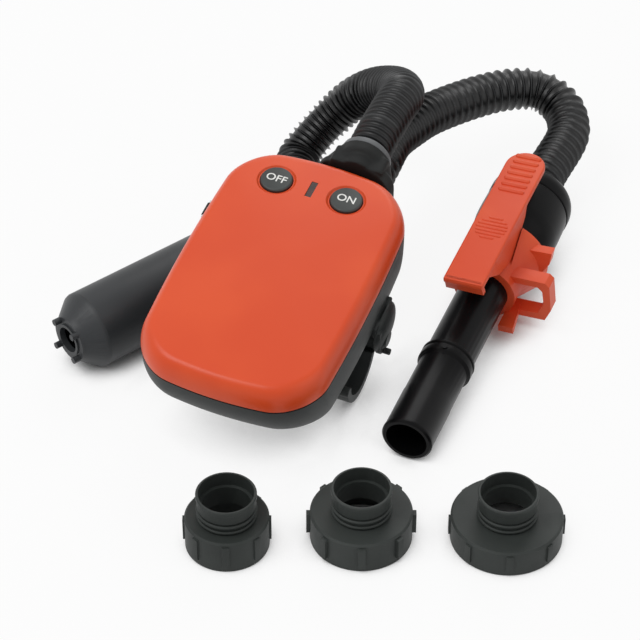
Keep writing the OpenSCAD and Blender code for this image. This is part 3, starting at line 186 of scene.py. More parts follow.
class Paint(Nodes):
    """A material and its nodes."""

    def __init__(self, name: str) -> None:
        """Starts the material with its shader and its output.

        Args:
            name: The material's name.
        """
        self.material = bpy.data.materials.new(name)
        self.material.use_nodes = True
        super().__init__(self.material.node_tree)
        self.shader = self.tree.nodes["Principled BSDF"]

    def set(self, **sockets: "Sock | float | Sequence[float]") -> None:
        """Feeds the shader's own sockets, where an underscore in a name stands for a space."""
        for name, value in sockets.items():
            self.feed(self.shader.inputs[name.replace("_", " ")], value)

    def place(self) -> Sock:
        return self.add("ShaderNodeTexCoord", out="Object")

    def noise(self, size: float, detail: float = 2.0, stretch: Point = (1.0, 1.0, 1.0)) -> Sock:
        """Even noise from 0 to 1.

        Args:
            size: How large its patches are, in metres.
            detail: How many finer layers it has.
            stretch: How much longer a patch is along x, y and z.

        Returns:
            The noise as a number.
        """
        spot = self.place()
        if stretch != (1.0, 1.0, 1.0):
            squeeze = tuple(1 / s for s in stretch)
            spot = self.add("ShaderNodeMapping", {}, {"Vector": spot, "Scale": squeeze})
        return self.add("ShaderNodeTexNoise", {}, {"Vector": spot, "Scale": 1 / size, "Detail": detail})

    def mix(self, share: Sock, low: "Sock | Colour", high: "Sock | Colour") -> Sock:
        """Blends two colours.

        Args:
            share: 0 for the low colour, 1 for the high one.
            low: The low colour.
            high: The high colour.

        Returns:
            The blend.
        """
        made = self.node("ShaderNodeMix", {"data_type": "RGBA"}, {"Factor": share})
        colours = [s for s in made.inputs if s.type == "RGBA"]
        self.feed(colours[0], low)
        self.feed(colours[1], high)
        return Sock(self, next(s for s in made.outputs if s.type == "RGBA"))

    def bump(self, height: Sock, depth: float) -> Sock:
        """A surface normal tilted by a height that goes over depth metres."""
        sockets = {"Height": height, "Strength": 1.0, "Distance": depth}
        return self.add("ShaderNodeBump", {}, sockets, out="Normal")


@dataclass(frozen=True)
class Moulded:
    """Moulded plastic or rubber: its colour and how that wanders, its gloss, its fine grain and, on a ribbed
    hose, painted shade in its grooves.

    Colours are as a screen shows them, 0 to 255.
    """

    slot: str
    colour: Colour
    patch_colour: Colour
    roughness: float
    patch_size: float = 0.03
    roughness_spread: float = 0.12
    grain_size: float = 0.0006
    grain_depth: float = 0.00002
    specular: float = 0.5
    coat: float = 0.0
    coat_roughness: float = 0.15
    # The near-black colour painted into a ribbed hose's grooves as shade, where the rib attribute is low.
    groove_shade_colour: Colour | None = None
    grain_detail: float = 3.0
    patch_ends: Pair = (0.35, 0.65)
    scuff_ratio: float = 9.0
    scuff_detail: float = 4.0
    scuff_stretch: Point = (1.0, 3.0, 1.0)
    scuff_ends: Pair = (0.5, 0.75)
    # Where along the rib's height the painted groove shade gives way to the finish's own colour.
    groove_shade_ends: Pair = (0.4, 1.0)

    def build(self, name: str) -> bpy.types.Material:
        """Makes the material.

        Args:
            name: The material's name.

        Returns:
            The material.
        """
        paint = Paint(name)
        patches = paint.noise(self.patch_size).above(*self.patch_ends)
        grain = paint.noise(self.grain_size, self.grain_detail)
        scuffs = paint.noise(self.grain_size * self.scuff_ratio, self.scuff_detail, self.scuff_stretch)
        colour = paint.mix(patches, linear(self.colour), linear(self.patch_colour))
        roughness = self.roughness + (grain - 0.5) * self.roughness_spread
        roughness = roughness + scuffs.above(*self.scuff_ends) * (self.roughness_spread / 2)
        # Painted shade: in a hose's grooves, where the rib attribute is low, the colour goes near-black, and
        # the crests keep the finish's colour.
        if self.groove_shade_colour:
            rib = paint.add("ShaderNodeAttribute", {"attribute_name": RIB}, out="Fac")
            colour = paint.mix(rib.above(*self.groove_shade_ends), linear(self.groove_shade_colour), colour)
            roughness = roughness + (1 - rib) * self.roughness_spread
        normal = paint.bump(grain, self.grain_depth)
        paint.set(Base_Color=colour, Roughness=roughness, Normal=normal, Specular_IOR_Level=self.specular)
        paint.set(Coat_Weight=self.coat, Coat_Roughness=self.coat_roughness)
        return paint.material


@dataclass(frozen=True)
class Metal:
    """Bare metal with drawn or turned marks along one direction, in a colour as a screen shows it."""

    slot: str
    colour: Colour
    roughness: float
    roughness_spread: float = 0.15
    mark_size: float = 0.0003
    mark_detail: float = 3.0
    mark_depth: float = 0.0000075
    mark_stretch: Point = (1.0, 1.0, 12.0)
    tarnish_size: float = 0.006
    tarnish_ends: Pair = (0.4, 0.7)
    tarnish_share: float = 0.8

    def build(self, name: str) -> bpy.types.Material:
        """Makes the material.

        Args:
            name: The material's name.

        Returns:
            The material.
        """
        paint = Paint(name)
        marks = paint.noise(self.mark_size, self.mark_detail, self.mark_stretch)
        tarnish = paint.noise(self.tarnish_size).above(*self.tarnish_ends)
        bright = linear(self.colour)
        dull = tuple(c * self.tarnish_share for c in bright)
        paint.set(Base_Color=paint.mix(tarnish, bright, dull), Metallic=1.0)
        roughness = self.roughness + (marks - 0.5) * self.roughness_spread
        paint.set(Roughness=roughness, Normal=paint.bump(marks, self.mark_depth))
        return paint.material


class Finish(Enum):
    COVER = Moulded("orange_plastic", (222, 72, 20), (228, 80, 28), 0.4, 0.05, 0.06,
                    grain_depth=0.000006, specular=0.4, coat=0.12, coat_roughness=0.3)
    CLIP = Moulded("clip_orange", (220, 76, 38), (226, 86, 46), 0.45, 0.03, 0.08,
                   grain_depth=0.00001, specular=0.35)
    SHELL = Moulded("black_plastic", (42, 45, 45), (50, 53, 52), 0.5, 0.04, 0.1, specular=0.25)
    NOZZLE = Moulded("black_plastic", (9, 9, 10), (14, 14, 15), 0.3, 0.03, 0.08,
                     grain_depth=0.000008, specular=0.09)
    PUMP = Moulded("pump_plastic", (45, 47, 49), (54, 56, 58), 0.42, 0.04, 0.1, specular=0.28)
    RUBBER = Moulded("black_rubber", (24, 25, 25), (32, 33, 32), 0.6, 0.02, 0.1, specular=0.2)
    # Black rubber painted lighter grey for the boot's collar ring, a painted highlight where its top catches
    # the light.
    RING = Moulded("black_rubber", (84, 86, 88), (92, 94, 96), 0.5, 0.02, 0.1)
    # The hose's grey is lifted on the crests as a painted highlight, and its grooves are painted near-black
    # as shade.
    HOSE = Moulded("hose_rubber", (66, 67, 68), (76, 77, 78), 0.26, 0.03, 0.1,
                   specular=0.4, groove_shade_colour=(2, 2, 3))
    BUTTON = Moulded("button_black", (40, 43, 42), (48, 52, 50), 0.45, 0.01, 0.1,
                     grain_size=0.0004, grain_depth=0.00003)
    ADAPTER = Moulded("adapter_plastic", (44, 48, 46), (53, 57, 55), 0.55, 0.03, 0.1, specular=0.28)
    WINDOW = Moulded("dark_window", (40, 16, 10), (60, 22, 12), 0.15, 0.003, 0.05,
                     grain_depth=0.000002, coat=0.5)
    LAMP = Moulded("light_white", (236, 236, 226), (226, 226, 214), 0.3)
    BOARD = Moulded("board_green", (32, 92, 52), (40, 108, 60), 0.4, 0.004)
    CELL = Moulded("cell_wrap", (40, 88, 158), (46, 96, 170), 0.3, 0.02)
    WHITE = Moulded("white_plastic", (232, 232, 228), (240, 240, 236), 0.45, 0.01)
    DUCT = Moulded("duct_plastic", (92, 94, 96), (100, 102, 104), 0.5)
    STEEL = Metal("steel", (196, 196, 200), 0.32)
    BRASS = Metal("contact_brass", (214, 178, 96), 0.3)


def written(mesh: BMesh, name: str) -> bpy.types.Mesh:
    """Writes a mesh down.

    Args:
        mesh: The mesh. It is freed.
        name: The name that it is kept under.

    Returns:
        The data of an object.
    """
    data = bpy.data.meshes.new(name)
    mesh.to_mesh(data)
    mesh.free()
    return data


def linked(name: str, data: bpy.types.ID) -> Object:
    """Puts an object with its data into the scene."""
    made = bpy.data.objects.new(name, data)
    bpy.context.scene.collection.objects.link(made)
    return made


class Workshop:
    """Puts finished meshes and finishes into the scene, and notes each one."""

    doubles_within = 2 * CLOSE
    flat_within = math.radians(0.5)
    edge_steps = 3
    skin_pull = 0.5

    def __init__(self) -> None:
        """Starts with no material made."""
        self.made: dict[Finish, bpy.types.Material] = {}
        self.body_of = {n: b for b, nodes in frame["record"]["behaviour"]["bodies"].items() for n in nodes}

    def material(self, finish: Finish) -> bpy.types.Material:
        """The material of a finish, made the first time that it is asked for."""
        if finish not in self.made:
            self.made[finish] = finish.value.build(finish.name.lower())
        return self.made[finish]

    def keep(self, node: str, finish: Finish) -> None:
        """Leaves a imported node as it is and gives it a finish.

        Args:
            node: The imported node.
            finish: Its finish.
        """
        slots = frame["nodes"][node].data.materials
        slots.clear()
        slots.append(self.material(finish))
        LOG.info("%s keeps its shape, in %s", node, finish.name.lower())

    def add(self, mesh: BMesh, name: str, finish: Finish, *nodes: str,
            body: str = "", crease: float = CREASE) -> Object:
        """Puts a finished mesh into the scene.

        Args:
            It is freed.
            name: The piece's name.
            finish: Its finish.
            *nodes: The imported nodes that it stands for.
            body: The body that it rides on, where it stands for no node.
            crease: The angle between two faces past which their edge stays sharp.

        Returns:
            The piece.
        """
        data = written(mesh, name)
        data.shade_smooth()
        data.set_sharp_from_angle(angle=math.radians(crease))
        data.materials.append(self.material(finish))
        piece = linked(name, data)
        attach(piece, self.body_of[nodes[0]] if nodes else body)
        if nodes:
            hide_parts(*nodes)
        LOG.info("%s: %d faces, in %s", name, len(data.polygons), finish.name.lower())
        return piece

    def stand(self, mesh: BMesh, node: str, finish: Finish, crease: float = CREASE) -> Object:
        """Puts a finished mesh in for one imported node."""
        return self.add(mesh, node + "_piece", finish, node, crease=crease)

    def merged(self, node: str) -> BMesh:
        """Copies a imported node's mesh, with its doubles merged and its flat faces whole.

        Args:
            node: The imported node.

        Returns:
            The copy.
        """
        mesh = bmesh.new()
        mesh.from_mesh(frame["nodes"][node].data)
        bmesh.ops.remove_doubles(mesh, verts=mesh.verts, dist=self.doubles_within)
        bmesh.ops.dissolve_limit(mesh, angle_limit=self.flat_within, verts=mesh.verts, edges=mesh.edges)
        return mesh

    def soften(self, node: str, finish: Finish, width: float) -> Object:
        """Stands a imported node's own shape in for it, with its edges rounded.

        Args:
            node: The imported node.
            finish: Its finish.
            width: How far the rounding goes in from an edge.

        Returns:
            The piece.
        """
        piece = self.stand(self.merged(node), node, finish)
        self.round_edges(piece, width)
        return piece

    def round_edges(self, piece: Object, width: float, crease: float = CREASE) -> None:
        """Rounds a piece's sharp edges with a live modifier.

        Args:
            piece: The piece.
            width: How far the rounding goes in from an edge.
            crease: The angle between two faces past which their edge is rounded.
        """
        rounding = piece.modifiers.new("rounded_edges", "BEVEL")
        rounding.width = width
        rounding.segments = self.edge_steps
        rounding.limit_method = "ANGLE"
        rounding.angle_limit = math.radians(crease)
        rounding.harden_normals = True
        rounding.miter_outer = "MITER_ARC"

    def reskin(self, piece: Object, cell: float, passes: int) -> None:
        """Grows one even soft skin over a piece made of several shapes.

        Args:
            piece: The piece.
            cell: The size of the skin's cells.
            passes: How often the skin is smoothed.
        """
        grid = piece.modifiers.new("even_skin", "REMESH")
        grid.mode = "VOXEL"
        grid.voxel_size = cell
        self.settle(piece)
        soft = piece.modifiers.new("soft_edges", "SMOOTH")
        soft.factor = self.skin_pull
        soft.iterations = passes
        self.settle(piece)
        piece.data.shade_smooth()

    @staticmethod
    def settle(piece: Object) -> None:
        """Applies a piece's modifiers to its mesh.

        Args:
            piece: The piece.
        """
        bpy.context.view_layer.update()
        ready = piece.evaluated_get(bpy.context.evaluated_depsgraph_get())
        data = bpy.data.meshes.new_from_object(ready)
        piece.modifiers.clear()
        piece.data = data

    def cut(self, piece: Object, cutters: Iterable[BMesh], width: float, crease: float = CREASE) -> None:
        """Cuts closed shapes out of a piece and rounds its edges.

        Args:
            piece: The piece that is cut.
            They are freed.
            width: How far the rounding goes in from an edge.
            crease: The angle between two faces past which their edge is rounded.
        """
        tools = []
        for i, cutter in enumerate(cutters):
            tool = linked(f"cutter_{i}", written(cutter, f"cutter_{i}"))
            step = piece.modifiers.new(f"cut_{i}", "BOOLEAN")
            step.operation = "DIFFERENCE"
            step.solver = "EXACT"
            step.object = tool
            tools.append(tool)
        self.settle(piece)
        for tool in tools:
            bpy.data.objects.remove(tool)
        piece.data.set_sharp_from_angle(angle=math.radians(crease))
        self.round_edges(piece, width, crease)


def placed(origin: Vector, turn: Point) -> Matrix:
    """A sub-assembly's frame, from its origin and its turn about x, y and z."""
    return Matrix.Translation(origin) @ Euler([math.radians(a) for a in turn]).to_matrix().to_4x4()


KIT_SHIFT = mm(0.84, 47.24, 0.0)
BOX = placed(mm(-19.4, -37.2, 51.2) + KIT_SHIFT, (9.7, 4.0, -21.4))
PUMP = placed(mm(-47.0, 17.7, 17.7) + KIT_SHIFT, (0.0, 90.0, 219.3))
NOZZLE = placed(mm(36.6, -93.5, 11.8) + KIT_SHIFT, (0.0, 85.0, 67.5))
# Where the hoses' axes pass through the box's frame, which they do along y.
UPPER_MOUTH = mm(11.0, 0.0, 5.0)
LOWER_MOUTH = mm(11.0, 0.0, -17.0)
# The clip sits on the spout a little turned.
CLIP_ROLL = -2.5
CLIP = NOZZLE @ Matrix.Rotation(math.radians(CLIP_ROLL), 4, "Z")


def cylinder(radius: float, low: float, high: float, centre: Pair = (0.0, 0.0),
             top_radius: float | None = None, sides: int = 64) -> BMesh:
    """A closed cylinder or cone along z.

    Args:
        radius: Its radius at the low end.
        low: Where it starts.
        high: Where it ends.
        centre: Its centre in x and y.
        top_radius: Its radius at the high end, where that differs.
        sides: How many sides it has.

    Returns:
        The mesh.
    """
    mesh = bmesh.new()
    spot = Matrix.Translation((centre[0], centre[1], (low + high) / 2))
    top = radius if top_radius is None else top_radius
    bmesh.ops.create_cone(mesh, cap_ends=True, segments=sides, radius1=radius, radius2=top,
                          depth=high - low, matrix=spot)
    return mesh


def block(low: Vector, high: Vector) -> BMesh:
    """A closed box.

    Args:
        low: Its corner with the lowest values.
        high: Its corner with the highest values.

    Returns:
        The mesh.
    """
    mesh = bmesh.new()
    bmesh.ops.create_cube(mesh, size=1.0)
    bmesh.ops.scale(mesh, vec=high - low, verts=mesh.verts)
    bmesh.ops.translate(mesh, vec=(low + high) / 2, verts=mesh.verts)
    return mesh


def moved(mesh: BMesh, matrix: Matrix) -> BMesh:
    bmesh.ops.transform(mesh, matrix=matrix, verts=mesh.verts)
    return mesh


def joined(*meshes: BMesh) -> BMesh:
    """Puts several meshes into the first of them.

    Args:
        *meshes: The meshes. All but the first are freed.

    Returns:
        The first mesh.
    """
    first = meshes[0]
    for other in meshes[1:]:
        data = written(other, "joined")
        first.from_mesh(data)
        bpy.data.meshes.remove(data)
    return first


def scaled(profile: Profile) -> Profile:
    """A profile given in millimetres, in metres."""
    return tuple(tuple(v * MM for v in corner) for corner in profile)


def extruded(mesh: BMesh, ring: list) -> tuple[list, list]:
    """Extrudes a ring of edges once.

    Args:
        mesh: The mesh.
        ring: Its ring of edges.

    Returns:
        The new ring's edges, and its vertices.
    """
    made = bmesh.ops.extrude_edge_only(mesh, edges=ring)["geom"]
    edges = [m for m in made if isinstance(m, bmesh.types.BMEdge) and m.is_boundary]
    return edges, [m for m in made if isinstance(m, bmesh.types.BMVert)]


def plate(corners: Iterable[Vector], rise: Vector) -> BMesh:
    """A closed plate.

    Args:
        corners: The corners of its first face, in order.
        rise: The way from there to its other face.

    Returns:
        The mesh, with its faces outwards.
    """
    mesh = bmesh.new()
    face = mesh.faces.new([mesh.verts.new(c) for c in corners])
    top = bmesh.ops.extrude_face_region(mesh, geom=[face])["geom"]
    bmesh.ops.translate(mesh, vec=rise, verts=[g for g in top if isinstance(g, bmesh.types.BMVert)])
    bmesh.ops.recalc_face_normals(mesh, faces=mesh.faces)
    return mesh


def bevelled(mesh: BMesh, geometry: list, width: float, steps: int,
             affect: str = "EDGES") -> BMesh:
    """Rounds edges or corners of a mesh.

    Args:
        mesh: The mesh.
        geometry: The edges or vertices that are rounded.
        width: How far the rounding goes in.
        steps: How many steps it takes.
        affect: EDGES or VERTICES.

    Returns:
        The same mesh.
    """
    bmesh.ops.bevel(mesh, geom=geometry, offset=width, segments=steps, profile=0.5, affect=affect,
                    material=-1, clamp_overlap=affect == "VERTICES")
    return mesh


def turned(profile: Profile, sides: int = 96, round_steps: int = 4) -> BMesh:
    """Turns a closed profile about z.

    Args:
        profile: Its corners as radius, height and, where the corner is rounded, how far the rounding goes.
        sides: How many steps the full turn takes.
        round_steps: How many steps a rounded corner takes.

    Returns:
        The mesh, with its faces outwards.
    """
    mesh = bmesh.new()
    corners = [mesh.verts.new((p[0], 0.0, p[1])) for p in profile]
    for corner, following in zip(corners, corners[1:] + corners[:1]):
        mesh.edges.new((corner, following))
    for corner, p in zip(corners, profile):
        if len(p) > 2:
            bevelled(mesh, [corner], p[2], round_steps, "VERTICES")
    bmesh.ops.spin(mesh, geom=mesh.verts[:] + mesh.edges[:], cent=(0, 0, 0), axis=(0, 0, 1), dvec=(0, 0, 0),
                   angle=math.tau, steps=sides, use_merge=True, use_duplicate=False)
    bmesh.ops.remove_doubles(mesh, verts=mesh.verts, dist=CLOSE)
    bmesh.ops.recalc_face_normals(mesh, faces=mesh.faces)
    return mesh


@dataclass(frozen=True)
class Lamp:
    """A square soft lamp: where it hangs, the length of its side and its power in watts."""

    name: str
    spot: Point
    size: float
    power: float

    def hang(self, aim: Vector) -> None:
        """Hangs the lamp.

        Args:
            aim: The point that it looks at.
        """
        light = bpy.data.lights.new(self.name, "AREA")
        light.size = self.size
        light.energy = self.power
        lamp = linked(self.name, light)
        lamp.location = self.spot
        lamp.rotation_euler = (aim - Vector(self.spot)).to_track_quat("-Z", "Y").to_euler()


@dataclass(frozen=True)
class Studio:
    """The pale floor, the soft lamps and the camera at the photograph's angle."""

    aim: Vector = KIT_SHIFT
    elevation: float = 40.0
    distance: float = 1.2
    focal_pixels: float = 2640.0
    frame_pixels: float = 640.0
    sensor: float = 36.0
    floor_size: float = 8.0
    floor_colour: Colour = (0.86, 0.86, 0.86)
    floor_roughness: float = 0.9
    floor_glow: float = 0.9
    shade_reach: float = 0.03
    shade_samples: int = 8
    shade_ends: Pair = (0.25, 0.7)
    room_light: float = 0.4
    lamps: tuple[Lamp, ...] = (Lamp("key", (-0.7, -0.3, 1.3), 0.9, 9.5),
                               Lamp("fill", (1.1, -0.6, 0.9), 1.2, 2.5),
                               Lamp("rim", (0.3, 1.2, 1.0), 0.8, 4.5))

    def camera(self) -> None:
        """Makes the camera."""
        lens = bpy.data.cameras.new("camera")
        lens.sensor_width = self.sensor
        lens.lens = self.focal_pixels * self.sensor / self.frame_pixels
        camera = linked("camera", lens)
        up = math.radians(self.elevation)
        camera.location = self.aim + Vector((0.0, -math.cos(up), math.sin(up))) * self.distance
        camera.rotation_euler = (math.radians(90 - self.elevation), 0.0, 0.0)
        bpy.context.scene.camera = camera

    def open_air(self, paint: Paint) -> Sock:
        reach = {"Distance": self.shade_reach}
        sky = paint.add("ShaderNodeAmbientOcclusion", {"samples": self.shade_samples}, reach, out="AO")
        return sky.above(*self.shade_ends)

    def floor(self) -> None:
        mesh = bmesh.new()
        bmesh.ops.create_grid(mesh, x_segments=1, y_segments=1, size=self.floor_size / 2)
        data = written(mesh, "floor")
        paint = Paint("floor")
        paint.set(Base_Color=self.floor_colour, Roughness=self.floor_roughness, Specular_IOR_Level=0.0)
        glow = paint.add("ShaderNodeEmission", {}, {"Color": WHITE, "Strength": 1.0})
        share = paint.seen() * self.open_air(paint) * self.floor_glow
        matt = Sock(paint, paint.shader.outputs[0])
        blend = paint.add("ShaderNodeMixShader", {}, {0: share, 1: matt, 2: glow})
        paint.feed(paint.tree.nodes["Material Output"].inputs["Surface"], blend)
        data.materials.append(paint.material)
        linked("floor", data)

    def world(self) -> None:
        world = bpy.data.worlds.new("room")
        bpy.context.scene.world = world
        world.use_nodes = True
        world.node_tree.nodes.clear()
        nodes = Nodes(world.node_tree)
        room = nodes.add("ShaderNodeBackground", {}, {"Color": WHITE, "Strength": self.room_light})
        white = nodes.add("ShaderNodeBackground", {}, {"Color": WHITE, "Strength": 1.0})
        blend = nodes.add("ShaderNodeMixShader", {}, {0: nodes.seen(), 1: room, 2: white})
        nodes.node("ShaderNodeOutputWorld", {}, {"Surface": blend})

    def build(self) -> None:
        """Sets up the camera, the lamps, the floor and the room."""
        bpy.context.scene.view_settings.view_transform = "Standard"
        self.camera()
        for lamp in self.lamps:
            lamp.hang(self.aim)
        self.floor()
        self.world()


@dataclass(frozen=True)
class Assembly:
    shop: Workshop


@dataclass(frozen=True)
class RibbedHose(Assembly):
    """A ribbed hose with its bore, swept along a route."""

    name: str
    node: str
    route: list[Vector]
    pitch: float
    diameter: float = 20.4 * MM
    bore: float = 15.2 * MM
    groove: float = 1.5 * MM
    sides: int = 40
    rings_per_rib: int = 8
    steps: int = 10
    crest_share: float = 0.46
    crease: float = 60.0
    path_step: int = 2

    def curve(self) -> list[Vector]:
        """Draws a smooth line through the route, straight along its first and last stretch.

        Returns:
            The line's points.
        """
        route = self.route
        line = [route[0]]
        for i in range(len(route) - 1):
            before = route[i - 1] if i > 1 else 2 * route[1] - route[2]
            after = route[min(i + 2, len(route) - 1)]
            for k in range(1, self.steps + 1):
                t = k / self.steps
                if i in (0, len(route) - 2):
                    line.append(route[i].lerp(route[i + 1], t))
                else:
                    line.append(self.spline(before, route[i], route[i + 1], after, t))
        return line

    @staticmethod
    def spline(a: Vector, b: Vector, c: Vector, d: Vector, t: float) -> Vector:
        """The point at share t of the stretch from b to c."""
        return 0.5 * ((2 * b) + (c - a) * t + (2 * a - 5 * b + 4 * c - d) * t * t
                      + (3 * b - a - 3 * c + d) * t * t * t)

    @staticmethod
    def even(line: list[Vector], count: int) -> list[Vector]:
        """Points at equal distances along a line.

        Args:
            line: The line.
            count: How many stretches it is cut into.

        Returns:
            One point more than there are stretches.
        """
        run = [0.0]
        for a, b in zip(line, line[1:]):
            run.append(run[-1] + (b - a).length)
        points = []
        i = 0
        for k in range(count + 1):
            goal = run[-1] * k / count
            while i < len(run) - 2 and run[i + 1] < goal:
                i += 1
            points.append(line[i].lerp(line[i + 1], (goal - run[i]) / (run[i + 1] - run[i])))
        return points

    @staticmethod
    def level(along: list[Vector]) -> list[Vector]:
        """Finds a sideways direction for each point of a line, which doesn't twist from one to the next.

        Args:
            along: The line's direction at each point.

        Returns:
            The sideways directions.
        """
        side = along[0].orthogonal().normalized()
        sides = []
        for direction in along:
            side = (side - direction * side.dot(direction)).normalized()
            sides.append(side)
        return sides

    def height(self, share: float) -> float:
        """How high the hose's skin stands at a share of one rib, from 0 in the groove to 1 on the crest."""
        off = abs(share - 0.5) / (self.crest_share / 2)
        return 0.5 + 0.5 * math.cos(math.pi * off) if off < 1 else 0.0

    def build(self) -> Object:
        """Returns:
            The piece.
        """
        line = self.curve()
        length = sum((b - a).length for a, b in zip(line, line[1:]))
        ribs = round(length / self.pitch)
        points = self.even(line, ribs * self.rings_per_rib)
        last = len(points) - 1
        along = [(points[min(i + 1, last)] - points[max(i - 1, 0)]).normalized() for i in range(last + 1)]
        sides = self.level(along)
        mesh = bmesh.new()
        home = mesh.verts.layers.float_vector.new("home")
        rib = mesh.verts.layers.float.new(RIB)
        bmesh.ops.create_circle(mesh, segments=self.sides, radius=1.0)
        for vert in mesh.verts:
            vert[home] = vert.co
        first = mesh.edges[:]
        ring = first
        stations = [(i, self.height(i / self.rings_per_rib % 1.0), False) for i in range(last + 1)]
        stations += [(i, 0.0, True) for i in range(last, -1, -self.rings_per_rib)]
        for count, (i, up, inside) in enumerate(stations):
            if count:
                ring, verts = extruded(mesh, ring)
            else:
                verts = mesh.verts[:]
            radius = self.bore / 2 if inside else self.diameter / 2 - self.groove * (1 - up)
            across = along[i].cross(sides[i])
            for vert in verts:
                vert.co = points[i] + radius * (vert[home].x * sides[i] + vert[home].y * across)
                vert[rib] = up
        bmesh.ops.bridge_loops(mesh, edges=first + ring)
        bmesh.ops.recalc_face_normals(mesh, faces=mesh.faces)
        piece = self.shop.add(mesh, self.name, Finish.HOSE, self.node, crease=self.crease)
        return piece


@dataclass(frozen=True)
class Hoses(Assembly):
    """Both hoses, along the routes that the photograph shows.

    Places and lengths along them are in millimetres.
    """

    straight: float = 21.4
    seat_y: float = 76.1
    cap_seat: float = -12.0
    nozzle_seat: float = 145.4
    nozzle_straight: float = 35.4
    inlet_pitch: float = 3.3
    outlet_pitch: float = 4.6
    inlet_laid: Profile = ((34, 64, 73), (38, 77, 71), (35, 92, 64), (26, 107, 53), (16, 113, 43),
                           (6, 112, 33), (-3, 107, 25), (-10, 99, 19), (-12, 86, 18), (-11, 68, 18),
                           (-13, 52, 18))
    outlet_laid: Profile = ((33, 70, 49), (42, 86, 46), (53, 101, 43), (73, 119, 39), (91, 129, 37),
                            (106, 131, 35), (116, 123, 32), (119, 111, 30), (117, 98, 29))

    def build(self) -> None:
        """Makes both hoses, the inlet round behind the box to the pump and the outlet over to the nozzle."""
        pump_end = [PUMP @ mm(0.0, 0.0, self.cap_seat - s) for s in (self.straight, 0.0)]
        nozzle_end = [NOZZLE @ mm(0.0, 0.0, self.nozzle_seat + s) for s in (self.nozzle_straight, 0.0)]
        for node, mouth, laid, end, pitch in (
                ("inlet_hose", UPPER_MOUTH, self.inlet_laid, pump_end, self.inlet_pitch),
                ("outlet_hose", LOWER_MOUTH, self.outlet_laid, nozzle_end, self.outlet_pitch)):
            start = [BOX @ (mm(0.0, self.seat_y + s, 0.0) + mouth) for s in (0.0, self.straight)]
            route = start + [mm(*p) + KIT_SHIFT for p in laid] + end
            RibbedHose(self.shop, node + "_ribbed", node, route, pitch * MM).build()


